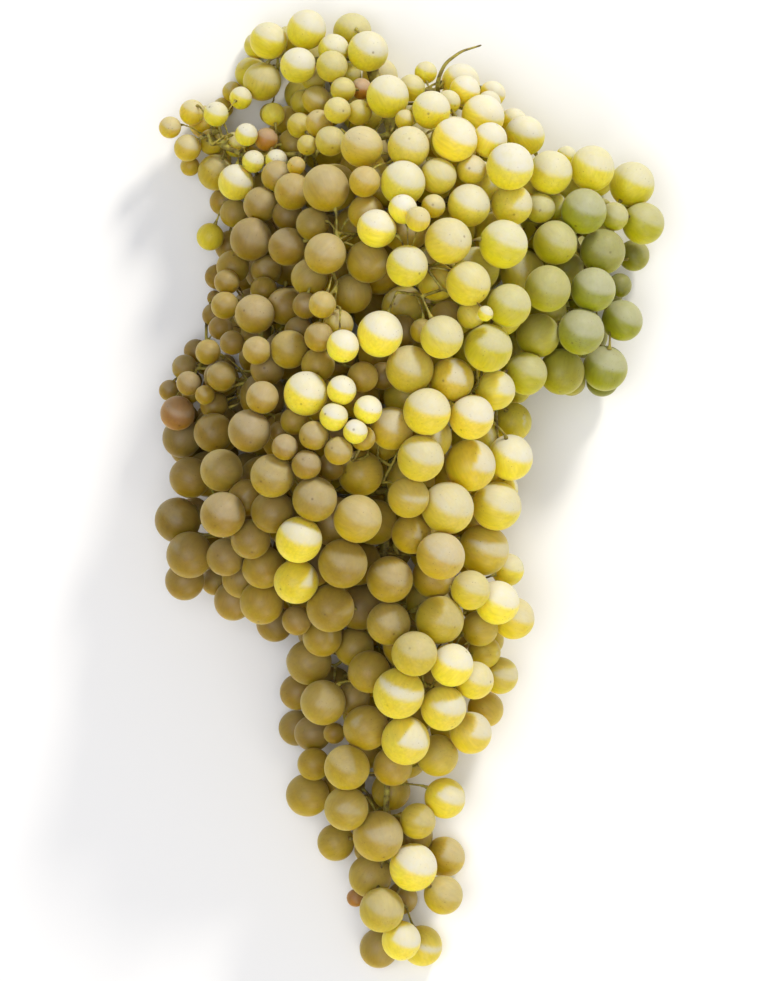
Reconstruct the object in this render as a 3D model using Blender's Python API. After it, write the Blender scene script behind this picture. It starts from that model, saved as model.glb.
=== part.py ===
"""A large winged bunch of white wine grapes, lying on its back on a flat surface.

The stem end points along +Y, the full front of the bunch faces +Z, and the
surface that it lies on is the plane z = 0. The berries of one side branch are one
solid, a spray. The stalk with its branches is one grown piece, and so is the tendril.
"""
import heapq
import math

import bmesh
import bpy
import numpy as np
from mathutils import Matrix, Vector

# ---------------------------------------------------------------- driving dimensions
MM = 0.001
BUNCH_LENGTH = 320 * MM
BUNCH_WIDTH = 167 * MM
BUNCH_DEPTH = 84 * MM
BERRY_DIAMETER = 15.5 * MM
PEDUNCLE_DIAMETER = 5.0 * MM
BRANCH_DIAMETER = 2.6 * MM
TWIG_DIAMETER = 1.5 * MM
TENDRIL_DIAMETER = 2.0 * MM
PEDICEL_DIAMETER = 2.4 * MM
PEDICEL_LONGEST = 14 * MM

# Ripe berries press flat on each other: their centres sit at this share of touching.
TOUCH = 0.965
# Clear gap between the solids of different sprays, and round the stalk and its twigs.
NODE_GAP = 0.3 * MM
# How deep a berry that carries the bunch is pressed flat on the surface. One does if
# its place is lower than this many of its radii.
REST_FLAT = 0.6 * MM
RESTING_UNDER = 1.3
# A pedicel is this share of a facet wide where it leaves the berry that it grows from.
PEDICEL_SHARE = 0.4
# It widens to a whole facet of its own berry if the gap is under this share of that
# berry's radius, if the facets face each other within this cosine, and if its own berry
# is at most this many times as large as the other one.
NEAR_SHARE = 0.25
JOIN_STRAIGHT = 0.93
JOIN_SIZE_RATIO = 1.3
# How many spins of a berry are tried for the one whose facets face its neighbours best.
SPIN_TRIES = 24
# On a berry that rests on the surface, a corner that points down counts this much more.
RESTING_WEIGHT = 3.0
# The rachis, the arms and the twigs are this many twigs, or shares of one, thick at
# their far ends.
RACHIS_END = 1.3
ARM_END = 1.2
TWIG_END = 0.8
STALK_SIDES = 6
TWIG_SIDES = 4
# Edges that turn by less than this are shaded smooth.
SMOOTH_UNDER = math.radians(65)

# The planting plan below is drawn for a bunch of this size, in millimetres.
PLAN_LENGTH = 320.0
PLAN_WIDTH = 167.0
PLAN_DEPTH = 84.0
PLAN_BERRY = 15.5

# Each tier of the planting plan lies this far under the one in front of it.
TIER_DROP = 8.0
# The unseen side is filled in passes of ever smaller berries, as shares of full size,
# in rows this share of a berry apart. The first row is this share of a berry from the
# lobe's lower end, and no row is closer than this to its upper end.
BACK_SIZES = (1.0, 0.94, 0.84, 0.72, 0.62)
BACK_ROW_SHARE = 0.88
FIRST_ROW_SHARE = 0.4
LAST_ROW_SHARE = 0.3
# No berry is added where its lobe is buried in another one by this share of a berry.
BURIED_SHARE = 0.8
# The unseen side starts this far above the middle of the section, in radians. Its
# outline is an ellipse whose underside is flattened by this power of the height.
SIDE_RISE = 0.6
SAG_POWER = 0.5
# Berries of this size fill the inside in a grid, this far under the front skin. Its
# first row and column are this many berries from the edges of the plan, and a berry
# that would lie lower than this share of its size is left out.
INNER_SIZE = 15.5
INNER_DROPS = (14.0, 26.0)
INNER_FIRST_ROW = 0.9
INNER_FIRST_COLUMN = 0.8
INNER_LOWEST = 0.6
# An added berry has its centre at least this share of touching from the others, hides
# no planted berry by more than this share of touching, and reaches no further than this
# past the planted ones, unless it is further than this inside a lobe (in the plan).
ADDED_PACKING = 0.88
COVER_SHARE = 0.85
OUTLINE_SLACK = 2.0 * MM
OUTLINE_BAND = 14.0
# Berries are never all the same size: the added ones run from this share of their size
# up by this much, in the order of the golden ratio, which never repeats.
SMALLEST_SHARE = 0.94
SIZE_SPREAD = 0.12
GOLDEN_RATIO = 0.618034
GOLDEN_ANGLE = 2.399963

# Settling: rounds of pushing with a pull home, then rounds of pushing alone. A berry
# gives way by this share of each overlap. A planted one moves less sideways than in
# height, and each is pulled home by these shares of its way back in (x, y, z).
SETTLING_ROUNDS = 420
PRESSING_ROUNDS = 160
FITTING_ROUNDS = 4
GIVE_WAY = 0.45
PLANTED_YIELD = (0.35, 0.35, 1.0)
ADDED_YIELD = (1.0, 1.0, 1.0)
PLANTED_PULL = (0.10, 0.10, 0.012)
ADDED_PULL = (0.01, 0.01, 0.02)
# Centres this close count as this far apart, so that nothing is divided by zero.
TINY = 1e-6

# A spray grows across a gap only where it must: each unit of gap counts this often.
GAP_EFFORT = 10.0

# ---------------------------------------------------------------- the planting plan
# Each region lists its berries as (across, along, diameter, tier): tier 0 is the
# front, 1 is partly covered and 2 lies deep between the others.
BERRIES = {
    "crown": [
        (-46.5, 150.0, 12.3, 0), (-33.8, 153.4, 13.0, 0), (-18.6, 153.5, 13.0, 1),
        (-13.4, 145.5, 13.5, 0), (-24.8, 146.5, 10.3, 1), (-36.5, 140.7, 11.8, 0),
        (-25.4, 140.3, 10.5, 0), (-51.0, 147.5, 9.0, 2), (-49.0, 136.7, 12.8, 1),
        (-52.0, 142.0, 11.0, 2), (-9.5, 139.3, 12.0, 2), (-31.5, 137.0, 8.5, 1),
    ],
    "upper_left": [
        (-59.0, 133.6, 7.0, 2), (-55.6, 131.0, 7.6, 0), (-72.1, 126.4, 8.5, 0),
        (-63.9, 125.3, 8.3, 0), (-44.8, 125.1, 7.8, 0), (-79.4, 121.3, 7.3, 0),
        (-53.6, 118.0, 7.6, 0), (-65.4, 117.0, 9.0, 1), (-73.5, 114.4, 9.0, 0),
        (-73.0, 108.8, 6.5, 1), (-64.2, 106.5, 12.2, 1), (-57.1, 102.4, 11.8, 0),
        (-51.3, 109.0, 7.5, 0), (-43.6, 109.5, 7.5, 1), (-43.5, 103.4, 10.5, 0),
        (-36.9, 106.7, 6.0, 1), (-47.2, 116.2, 7.8, 1), (-58.0, 115.7, 8.5, 2),
        (-62.0, 129.0, 7.0, 2), (-48.3, 94.7, 11.5, 0), (-58.0, 92.6, 9.5, 1),
        (-62.0, 97.0, 9.0, 2), (-66.0, 84.9, 9.2, 0),
    ],
    "top": [
        (-30.5, 129.6, 9.5, 0), (-35.0, 129.5, 8.5, 1), (-21.6, 132.5, 8.2, 0),
        (-15.7, 133.1, 7.0, 1), (-23.4, 124.8, 8.8, 0), (-16.2, 124.4, 8.5, 1),
        (-36.0, 121.1, 8.5, 1), (-29.5, 121.0, 9.0, 1), (-33.3, 113.6, 6.8, 1),
        (-25.7, 114.7, 10.0, 1), (-15.4, 112.1, 13.5, 0), (-27.0, 98.5, 15.0, 0),
        (-14.4, 100.2, 10.0, 0), (-38.0, 98.0, 12.0, 1),
    ],
    "shoulder": [
        (-7.0, 129.4, 14.0, 0), (1.0, 133.0, 9.0, 1), (5.6, 138.2, 7.4, 0),
        (7.3, 124.5, 12.6, 0), (13.0, 128.0, 8.0, 1), (-1.3, 121.5, 6.5, 1),
        (17.3, 136.0, 12.5, 1), (18.7, 131.8, 9.9, 0), (28.0, 132.5, 8.5, 1),
        (26.5, 128.5, 8.0, 1), (24.0, 123.7, 14.0, 1), (35.0, 123.0, 9.0, 2),
        (38.4, 117.8, 13.5, 1), (15.0, 114.0, 14.3, 0), (26.4, 114.4, 11.4, 0),
        (32.7, 105.5, 15.5, 0), (46.4, 104.6, 14.5, 0), (-0.3, 111.6, 13.7, 0),
        (-2.0, 99.8, 14.5, 0), (20.2, 105.0, 9.8, 1), (9.5, 102.5, 12.0, 1),
        (19.4, 92.9, 14.0, 1), (33.5, 93.7, 13.5, 1), (43.0, 93.0, 10.0, 2),
        (-1.9, 91.2, 9.4, 0), (2.5, 87.7, 8.0, 0), (7.8, 92.4, 7.8, 1),
        (-14.0, 90.5, 11.5, 1),
    ],
    "wing": [
        (60.4, 106.4, 14.7, 0), (74.3, 102.0, 15.0, 0), (77.9, 89.0, 14.0, 0),
        (57.2, 92.0, 15.0, 0), (67.9, 90.8, 9.5, 1), (48.0, 94.0, 9.0, 2),
        (52.5, 111.5, 7.0, 2), (48.0, 81.5, 14.5, 1), (64.0, 79.2, 15.0, 1),
        (75.5, 79.0, 10.5, 2), (45.3, 66.2, 15.2, 0), (60.5, 66.0, 14.8, 0),
        (70.2, 68.5, 8.0, 2), (71.0, 56.8, 13.5, 0), (56.6, 52.8, 15.2, 0),
        (42.5, 51.3, 14.5, 1), (65.3, 40.9, 15.0, 0), (50.5, 39.5, 15.0, 1),
        (52.0, 73.5, 12.0, 2),
    ],
    "left_shoulder": [
        (-51.7, 82.6, 13.8, 0), (-39.5, 79.8, 12.5, 1), (-31.3, 87.0, 11.0, 1),
        (-40.0, 91.0, 10.0, 2), (-27.1, 76.8, 13.4, 0), (-32.4, 69.5, 12.0, 1),
        (-13.4, 74.4, 13.8, 1), (-18.5, 64.4, 13.0, 2), (-10.5, 84.8, 12.4, 0),
        (-58.0, 74.0, 11.0, 1), (-64.0, 72.0, 8.5, 2), (-47.0, 73.0, 10.0, 2),
        (-59.8, 68.6, 8.3, 0), (-60.3, 61.3, 9.1, 0), (-65.0, 59.0, 8.0, 1),
        (-65.0, 65.0, 5.0, 2), (-50.2, 57.8, 12.8, 0), (-62.0, 54.0, 8.0, 1),
        (-40.5, 60.5, 12.0, 2), (-47.5, 66.0, 9.0, 2), (-33.5, 60.3, 8.5, 1),
        (-28.0, 60.2, 8.8, 0), (-23.0, 54.0, 10.0, 1), (-29.0, 49.8, 9.4, 0),
        (-21.5, 46.8, 10.5, 0), (-57.7, 48.6, 8.0, 0),
    ],
    "left_lobe": [
        (-65.9, 45.8, 8.4, 0), (-71.0, 47.0, 8.0, 1), (-74.5, 41.3, 8.6, 0),
        (-79.6, 33.7, 7.0, 0), (-72.3, 35.5, 8.0, 0), (-72.0, 32.0, 6.0, 1),
        (-66.7, 31.6, 6.5, 0), (-61.3, 37.6, 9.6, 0), (-49.3, 45.7, 9.3, 0),
        (-46.0, 40.0, 11.0, 1), (-39.0, 46.0, 12.5, 1), (-36.0, 52.5, 9.0, 2),
        (-29.5, 41.0, 11.0, 1), (-47.5, 30.2, 10.6, 0), (-76.0, 26.0, 11.5, 1),
        (-64.0, 28.4, 9.0, 2), (-75.1, 17.9, 13.0, 2), (-64.0, 19.4, 13.0, 2),
    ],
    "heart": [
        (-33.3, 31.6, 14.3, 0), (-21.8, 32.5, 9.5, 0), (-15.0, 37.0, 10.0, 1),
        (-13.4, 26.2, 9.2, 0), (-24.4, 23.9, 9.2, 0), (-17.3, 19.4, 8.0, 0),
        (-14.9, 17.2, 8.0, 1), (-30.6, 18.1, 9.5, 0), (-22.8, 13.1, 9.2, 0),
        (-40.1, 14.2, 8.5, 0), (-33.1, 8.6, 9.6, 0), (-37.2, 22.8, 9.0, 1),
        (-42.0, 19.4, 7.0, 2), (-25.3, 8.0, 9.0, 2),
    ],
    "right_body": [
        (-0.7, 72.6, 13.5, 0), (12.5, 80.8, 15.1, 0), (30.5, 80.0, 15.8, 0),
        (19.0, 67.0, 14.3, 0), (32.3, 60.2, 14.2, 0), (9.0, 68.0, 12.5, 2),
        (20.0, 57.0, 9.0, 1), (24.5, 57.3, 5.0, 0), (12.0, 57.0, 10.0, 2),
        (-9.5, 50.7, 14.7, 0), (-2.0, 52.0, 11.0, 2), (4.0, 52.0, 8.0, 2),
        (10.4, 49.8, 14.0, 0), (25.5, 46.6, 15.8, 0), (38.4, 38.7, 14.0, 0),
        (0.0, 39.5, 15.5, 1), (13.8, 36.2, 14.5, 1), (28.0, 33.0, 13.0, 1),
        (-8.5, 37.5, 9.0, 2), (5.6, 25.7, 15.3, 0), (20.1, 24.2, 14.4, 0),
        (-5.5, 20.5, 14.0, 1), (34.3, 23.0, 13.0, 2), (3.6, 10.7, 15.2, 0),
        (20.1, 8.6, 16.5, 1), (33.3, 11.2, 15.0, 0), (12.2, -5.3, 17.0, 0),
        (28.8, -4.9, 16.2, 0), (0.1, -1.9, 13.5, 1), (1.0, -14.0, 13.0, 1),
        (10.0, -20.7, 15.5, 0), (24.6, -19.1, 17.0, 1), (8.1, -28.0, 14.0, 2),
        (19.9, -32.8, 13.0, 1), (28.6, -37.0, 14.5, 0), (32.9, -26.0, 11.0, 2),
        (34.8, -42.0, 14.0, 1), (24.0, -45.3, 12.0, 2),
    ],
    "left_body": [
        (-51.7, 19.8, 13.8, 0), (-44.2, 4.9, 14.2, 0), (-30.5, -2.5, 14.5, 0),
        (-16.7, -8.8, 15.6, 0), (-16.0, 6.0, 15.0, 2), (-35.9, -15.2, 15.0, 0),
        (-21.5, -23.3, 16.0, 0), (-36.6, -29.3, 14.5, 0), (-48.3, -35.6, 14.5, 0),
        (-25.6, -37.9, 15.6, 0), (-6.3, -28.6, 15.2, 1), (-6.6, -43.1, 14.4, 1),
        (-60.2, -7.3, 14.7, 0), (-72.1, -20.7, 15.4, 0), (-76.2, -9.6, 15.0, 1),
        (-72.1, 4.6, 13.5, 1), (-61.0, 6.8, 14.0, 1), (-74.0, -29.5, 13.0, 1),
        (-64.3, -30.0, 9.0, 2), (-58.0, -36.0, 13.0, 1), (-59.5, -21.5, 12.5, 1),
        (-50.6, -15.5, 13.0, 1), (-48.3, -24.5, 14.0, 1), (-55.0, -28.9, 13.0, 2),
        (-44.6, -7.3, 14.0, 1), (-53.2, -2.1, 12.0, 1), (-36.8, -42.3, 9.5, 1),
        (-44.6, -44.0, 12.0, 2), (-28.3, -48.0, 13.0, 2),
    ],
    "upper_tail": [
        (10.5, -41.5, 16.0, 1), (1.6, -53.1, 14.8, 0), (-12.7, -59.2, 14.0, 1),
        (-3.5, -65.3, 16.7, 0), (11.4, -71.0, 15.0, 0), (-1.2, -81.7, 16.0, 0),
        (14.0, -56.7, 14.2, 0), (21.7, -62.0, 12.5, 0), (30.2, -60.8, 12.3, 1),
        (20.4, -80.0, 14.0, 0), (9.8, -87.4, 14.0, 1), (25.8, -72.7, 12.0, 2),
        (25.3, -52.9, 11.0, 2), (-27.8, -69.4, 15.0, 1), (-36.8, -66.9, 12.0, 2),
        (-32.8, -56.3, 15.0, 1), (-18.0, -51.4, 13.0, 2), (-18.4, -68.2, 11.0, 2),
        (-37.2, -79.2, 12.0, 2), (-32.0, -80.9, 12.0, 2), (-24.6, -80.0, 7.0, 2),
        (-14.3, -78.0, 15.0, 1),
    ],
    "tail": [
        (-20.1, -90.3, 15.0, 0), (-31.5, -90.3, 11.0, 1), (-5.3, -90.7, 13.0, 1),
        (-6.6, -100.5, 13.0, 2), (-20.5, -104.6, 14.7, 0), (-33.2, -100.9, 14.5, 1),
        (11.9, -102.1, 13.5, 0), (3.3, -109.1, 12.0, 1), (-10.2, -114.0, 16.7, 0),
        (-24.2, -117.3, 12.5, 1), (1.6, -124.7, 16.0, 0), (11.9, -122.2, 13.5, 1),
        (11.6, -134.5, 13.0, 0), (-12.7, -128.3, 14.5, 1), (-8.6, -139.4, 15.0, 0),
        (-17.6, -136.1, 6.0, 1), (-9.8, -153.0, 13.0, 1), (-2.5, -149.2, 13.0, 0),
        (4.5, -152.1, 13.5, 1),
    ],
}

# The lobes that the bunch is made of, each a row of (along, left, right, depth)
# stations, and the diameter of the berries on its unseen side.
LOBES = {
    "body": (15.2, [
        (-160, -14, 8, 14), (-150, -17, 11, 24), (-135, -19, 15, 29), (-120, -27, 14, 34),
        (-105, -37, 15, 42), (-90, -37, 18, 48), (-70, -41, 30, 56), (-50, -44, 34, 64),
        (-35, -60, 36, 70), (-20, -79, 34, 76), (0, -78, 36, 82), (20, -77, 38, 84),
        (40, -66, 46, 84), (60, -60, 54, 84), (80, -56, 58, 82), (100, -50, 58, 76),
        (120, -42, 43, 64), (134, -28, 29, 46), (142, -12, 18, 30),
    ]),
    "wing": (15.0, [
        (33, 50, 70, 22), (45, 46, 72, 38), (60, 44, 76, 44), (80, 44, 81, 48),
        (100, 44, 81, 44), (112, 52, 70, 24),
    ]),
    "left": (11.0, [
        (10, -80, -58, 20), (28, -81, -50, 30), (45, -76, -45, 34), (60, -67, -44, 32),
        (85, -68, -40, 30), (100, -68, -40, 34), (115, -75, -36, 34), (128, -72, -34, 28),
        (134, -60, -30, 16),
    ]),
    "crown": (12.5, [
        (128, -50, -6, 30), (136, -55, -3, 38), (150, -51, -7, 36), (158, -40, -13, 18),
    ]),
}

# The stalk's routes as (across, along, up): the main axis from its cut end to the
# tip, and the arms that carry the wing and the lobes.
RACHIS = [
    (-15, 151, 17), (-11, 137, 21), (-5, 118, 32), (0, 95, 40), (0, 62, 42), (-4, 22, 41),
    (-8, -20, 37), (-6, -60, 28), (-7, -95, 22), (-8, -122, 17),
]
ARMS = {
    "wing": [(0, 95, 40), (30, 92, 36), (55, 84, 25), (62, 62, 22)],
    "upper_left": [(-5, 118, 32), (-32, 112, 29), (-55, 112, 22), (-66, 118, 18)],
    "left_lobe": [(-4, 40, 42), (-34, 42, 33), (-58, 36, 21)],
    "lower_left": [(-5, 5, 40), (-34, -6, 34), (-60, -14, 26)],
    "crown": [(-13, 144, 19), (-28, 144, 18), (-42, 142, 17)],
}

# The tendril, as (across, along, up), from its root between the berries to its tip.
TENDRIL = [
    (6.0, 131.0, 24.0), (9.6, 131.0, 34.0), (9.4, 133.6, 39.0), (10.2, 136.7, 42.0),
    (12.0, 140.3, 43.0), (15.0, 142.9, 42.0), (17.6, 144.7, 40.0), (20.2, 145.7, 38.0),
    (24.0, 147.1, 35.0),
]
TENDRIL_TIP_SHARE = 0.35

# Where each spray's middle berry is, as (across, along, up) in the plan.
SPRAYS = {
    "crown_left": (-46, 146, 30), "crown_right": (-19, 147, 30), "crown_back": (-30, 146, 6),
    "upper_left_tip": (-72, 121, 24), "upper_left_stem": (-56, 124, 24),
    "upper_left_base": (-58, 104, 24), "upper_left_back": (-62, 112, 6),
    "top_left": (-40, 112, 44), "top_centre": (-26, 125, 44), "top_inner": (-20, 105, 60),
    "shoulder_top": (2, 130, 48), "shoulder_edge": (22, 130, 42),
    "shoulder_centre": (6, 112, 60), "shoulder_right": (33, 108, 54),
    "shoulder_inner": (3, 93, 70), "shoulder_back": (16, 125, 8),
    "wing_top": (66, 103, 34), "wing_edge": (74, 84, 30), "wing_root": (52, 90, 46),
    "wing_centre": (58, 68, 38), "wing_tip": (60, 46, 34), "wing_back": (62, 78, 6),
    "left_shoulder_outer": (-55, 80, 36), "left_shoulder_inner": (-34, 78, 62),
    "left_shoulder_low": (-58, 60, 34), "left_shoulder_core": (-30, 60, 66),
    "left_lobe_edge": (-76, 38, 24), "left_lobe_top": (-62, 42, 28),
    "left_lobe_base": (-70, 22, 28), "left_lobe_inner": (-44, 42, 50),
    "left_lobe_back": (-70, 36, 6),
    "heart_upper": (-26, 30, 72), "heart_lower": (-30, 12, 72),
    "right_body_upper": (16, 76, 74), "right_body_edge": (34, 66, 56),
    "right_body_centre": (-4, 48, 74), "right_body_middle": (20, 42, 74),
    "right_body_core": (8, 20, 74), "right_body_right": (32, 14, 56),
    "right_body_lower": (16, -10, 68), "right_body_low_edge": (28, -34, 46),
    "left_body_upper": (-62, 8, 46), "left_body_inner": (-34, 0, 70),
    "left_body_outer": (-72, -16, 38), "left_body_centre": (-46, -20, 60),
    "left_body_core": (-20, -20, 68), "left_body_low": (-44, -38, 46),
    "upper_tail_centre": (0, -56, 56), "upper_tail_right": (20, -66, 42),
    "upper_tail_left": (-30, -68, 40), "upper_tail_low": (0, -84, 44),
    "tail_left": (-26, -98, 34), "tail_right": (6, -106, 30), "tail_lower": (-4, -124, 26),
    "tail_tip": (-3, -148, 16),
    "back_upper": (0, 90, 6), "back_middle": (-10, 30, 6), "back_lower": (-20, -30, 6),
}

# The sprays that stay green, and the ones on the side that ripens to amber, by the
# starts of their names. The others are golden.
GREEN_SPRAYS = ("wing",)
AMBER_SPRAYS = ("left", "upper_left", "top", "back", "tail_left", "upper_tail_left")


# ---------------------------------------------------------------- materials
def principled(name, colour, roughness):
    """A Principled BSDF material of one colour."""
    material = bpy.data.materials.new(name)
    material.use_nodes = True
    shader = material.node_tree.nodes["Principled BSDF"]
    shader.inputs["Base Color"].default_value = (*colour, 1.0)
    shader.inputs["Roughness"].default_value = roughness
    shader.inputs["Metallic"].default_value = 0.0
    material.diffuse_color = (*colour, 1.0)
    return material


# ---------------------------------------------------------------- the shape of the bunch
def plan_point(point):
    """A place in the planting plan, in metres on this bunch."""
    return np.array([
        point[0] / PLAN_WIDTH * BUNCH_WIDTH,
        point[1] / PLAN_LENGTH * BUNCH_LENGTH,
        point[2] / PLAN_DEPTH * BUNCH_DEPTH,
    ])


def plan_diameter(diameter):
    """A berry's diameter in the plan, in metres on this bunch."""
    return diameter / PLAN_BERRY * BERRY_DIAMETER


def lobe_section(stations, along):
    """Middle, half width and half depth of a lobe at one place along it, in the plan."""
    places = [station[0] for station in stations]
    left = np.interp(along, places, [station[1] for station in stations])
    right = np.interp(along, places, [station[2] for station in stations])
    depth = np.interp(along, places, [station[3] for station in stations])
    return (left + right) / 2, (right - left) / 2, depth / 2


def front_height(across, along, radius):
    """Height of the centre of a berry that sits in the front skin of the bunch."""
    found = []
    for _, stations in LOBES.values():
        beyond = max(stations[0][0] - along, along - stations[-1][0], 0.0)
        middle, half_width, half_depth = lobe_section(stations, along)
        aside = max(abs(across - middle) - half_width, 0.0)
        share = min(abs(across - middle) / max(half_width - radius, radius), 1.0)
        rise = max(half_depth - radius, 0.0) * math.sqrt(1.0 - share ** 2)
        found.append((beyond + aside, half_depth + rise))
    near = [height for outside, height in found if outside <= radius]
    return max(near) if near else min(found)[1]


def planted_berries():
    """The centres and radii of the berries of the planting plan."""
    centres = []
    radii = []
    for berries in BERRIES.values():
        for across, along, diameter, tier in berries:
            up = front_height(across, along, diameter / 2) - tier * TIER_DROP
            centres.append(plan_point((across, along, max(up, diameter / 2))))
            radii.append(plan_diameter(diameter) / 2)
    return centres, radii


def inside_other_lobe(name, point, margin):
    """Whether a place in the plan is buried in a lobe other than the named one."""
    for other, (_, stations) in LOBES.items():
        if other == name or not stations[0][0] <= point[1] <= stations[-1][0]:
            continue
        middle, half_width, half_depth = lobe_section(stations, point[1])
        wide = max(half_width - margin, 1.0)
        deep = max(half_depth - margin, 1.0)
        share = ((point[0] - middle) / wide) ** 2 + ((point[2] - half_depth) / deep) ** 2
        if share < 1.0:
            return True
    return False


def row_of_places(stations, along, diameter, offset):
    """Places a berry apart along the unseen half of one section, from edge to edge."""
    middle, half_width, half_depth = lobe_section(stations, along)
    wide = max(half_width - diameter / 2, 0.0)
    deep = max(half_depth - diameter / 2, 0.0)
    angles = np.linspace(-SIDE_RISE, math.pi + SIDE_RISE, 200)
    across = middle - wide * np.cos(angles)
    # A lying bunch sags, so its underside is flatter than an ellipse.
    sag = np.sign(np.sin(angles)) * np.abs(np.sin(angles)) ** SAG_POWER
    up = half_depth - deep * sag
    run = np.concatenate([[0.0], np.cumsum(np.hypot(np.diff(across), np.diff(up)))])
    count = max(int(run[-1] / diameter), 1)
    spots = (np.arange(count + 1) + offset) * run[-1] / count
    spots = spots[spots <= run[-1]]
    return [(np.interp(s, run, across), along, np.interp(s, run, up)) for s in spots]


def add_back_berries(centres, radii, planted_count):
    """Fill the sides and the back of every lobe, row by row, where there is room."""
    for share in BACK_SIZES:
        for name, (full_diameter, stations) in LOBES.items():
            diameter = full_diameter * share
            rows = int((stations[-1][0] - stations[0][0]) / (diameter * BACK_ROW_SHARE))
            for row in range(rows + 1):
                along = stations[0][0] + diameter * (FIRST_ROW_SHARE + BACK_ROW_SHARE * row)
                if along > stations[-1][0] - diameter * LAST_ROW_SHARE:
                    break
                # Every other row is shifted by half a berry, as in a wall of bricks.
                for place in row_of_places(stations, along, diameter, 0.5 * (row % 2)):
                    if not inside_other_lobe(name, place, diameter * BURIED_SHARE):
                        add_where_free(centres, radii, planted_count, place, diameter)


def add_inner_berries(centres, radii, planted_count):
    """Fill under the front skin, where a gap would let one look through the bunch."""
    diameter = INNER_SIZE
    rows = int(PLAN_LENGTH / (diameter * BACK_ROW_SHARE))
    steps = int(PLAN_WIDTH / diameter)
    for drop in INNER_DROPS:
        for row in range(rows):
            along = -PLAN_LENGTH / 2 + diameter * (INNER_FIRST_ROW + BACK_ROW_SHARE * row)
            for step in range(steps):
                column = INNER_FIRST_COLUMN + step + 0.5 * (row % 2)
                across = -PLAN_WIDTH / 2 + diameter * column
                up = front_height(across, along, diameter / 2) - drop
                if up > diameter * INNER_LOWEST:
                    place = (across, along, up)
                    add_where_free(centres, radii, planted_count, place, diameter)


def far_inside(place):
    """Whether a place in the plan is far from the edge of one of the lobes."""
    for _, stations in LOBES.values():
        middle, half_width, _ = lobe_section(stations, place[1])
        beyond = max(stations[0][0] - place[1], place[1] - stations[-1][0])
        if beyond < -OUTLINE_BAND and abs(place[0] - middle) < half_width - OUTLINE_BAND:
            return True
    return False


def add_where_free(centres, radii, planted_count, place, diameter):
    """Add one berry at a place in the plan, if no other is in its way, it hides none of
    the planted ones and it stays within their outline."""
    vary = SMALLEST_SHARE + SIZE_SPREAD * ((len(centres) * GOLDEN_RATIO) % 1.0)
    radius = plan_diameter(diameter * vary) / 2
    centre = plan_point(place)
    others = np.array(centres)
    reach = radius + np.array(radii)
    if (np.linalg.norm(others - centre, axis=1) / reach).min() < ADDED_PACKING:
        return
    planted = others[:planted_count]
    aside = np.linalg.norm(planted[:, :2] - centre[:2], axis=1)
    overlapping = aside < COVER_SHARE * reach[:planted_count]
    if (planted[overlapping, 2] < centre[2]).any():
        return
    if not far_inside(place):
        angles = np.linspace(0.0, 2 * math.pi, 12, endpoint=False)
        rim = centre[:2] + radius * np.stack([np.cos(angles), np.sin(angles)], axis=1)
        away = np.linalg.norm(rim[:, None] - planted[None, :, :2], axis=2)
        if (away - radii[:planted_count]).min(axis=1).max() > OUTLINE_SLACK:
            return
    centres.append(centre)
    radii.append(radius)


# ---------------------------------------------------------------- settling
def smooth_route(points, radii, per_span):
    """Points on a smooth curve through the route's own points, with their radii."""
    padded = [2 * points[0] - points[1]] + points + [2 * points[-1] - points[-2]]
    route = []
    widths = []
    for k in range(len(points) - 1):
        p0, p1, p2, p3 = padded[k:k + 4]
        for step in range(per_span):
            t = step / per_span
            route.append(0.5 * (2 * p1 + (p2 - p0) * t + (2 * p0 - 5 * p1 + 4 * p2 - p3) * t ** 2
                                + (3 * p1 - p0 - 3 * p2 + p3) * t ** 3))
            widths.append(radii[k] + (radii[k + 1] - radii[k]) * t)
    route.append(points[-1])
    widths.append(radii[-1])
    return route, widths


def stalk_routes():
    """Every route of the stalk as a smooth curve in metres, with its radii.

    The first is the rachis, and each arm starts on it.
    """
    points = [plan_point(point) for point in RACHIS]
    taper = np.linspace(PEDUNCLE_DIAMETER, TWIG_DIAMETER * RACHIS_END, len(points)) / 2
    rachis = smooth_route(points, taper, 2)
    routes = [rachis]
    for arm in ARMS.values():
        points = [plan_point(point) for point in arm]
        points[0] = min(rachis[0], key=lambda point: np.linalg.norm(point - points[0]))
        taper = np.linspace(BRANCH_DIAMETER, TWIG_DIAMETER * ARM_END, len(points)) / 2
        routes.append(smooth_route(points, taper, 2))
    return routes


def tendril_route():
    """The tendril as a smooth curve in metres, with its radii."""
    points = [plan_point(point) for point in TENDRIL]
    radii = np.linspace(TENDRIL_DIAMETER, TENDRIL_DIAMETER * TENDRIL_TIP_SHARE, len(points)) / 2
    return smooth_route(points, radii, 2)


def push_from_segment(centres, radii, start, end, thickness):
    """Move the berries that cut into a round bar from start to end out of it."""
    axis = end - start
    share = np.clip((centres - start) @ axis / (axis @ axis), 0.0, 1.0)
    away = centres - (start + share[:, None] * axis)
    distance = np.maximum(np.linalg.norm(away, axis=1), TINY)
    short = radii + thickness - distance
    moved = short > 0.0
    centres[moved] += away[moved] * (short[moved] / distance[moved])[:, None]


def facet_radius(radius):
    """How far a berry's corners are from its middle."""
    return TOUCH * radius - NODE_GAP / 2


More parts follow.
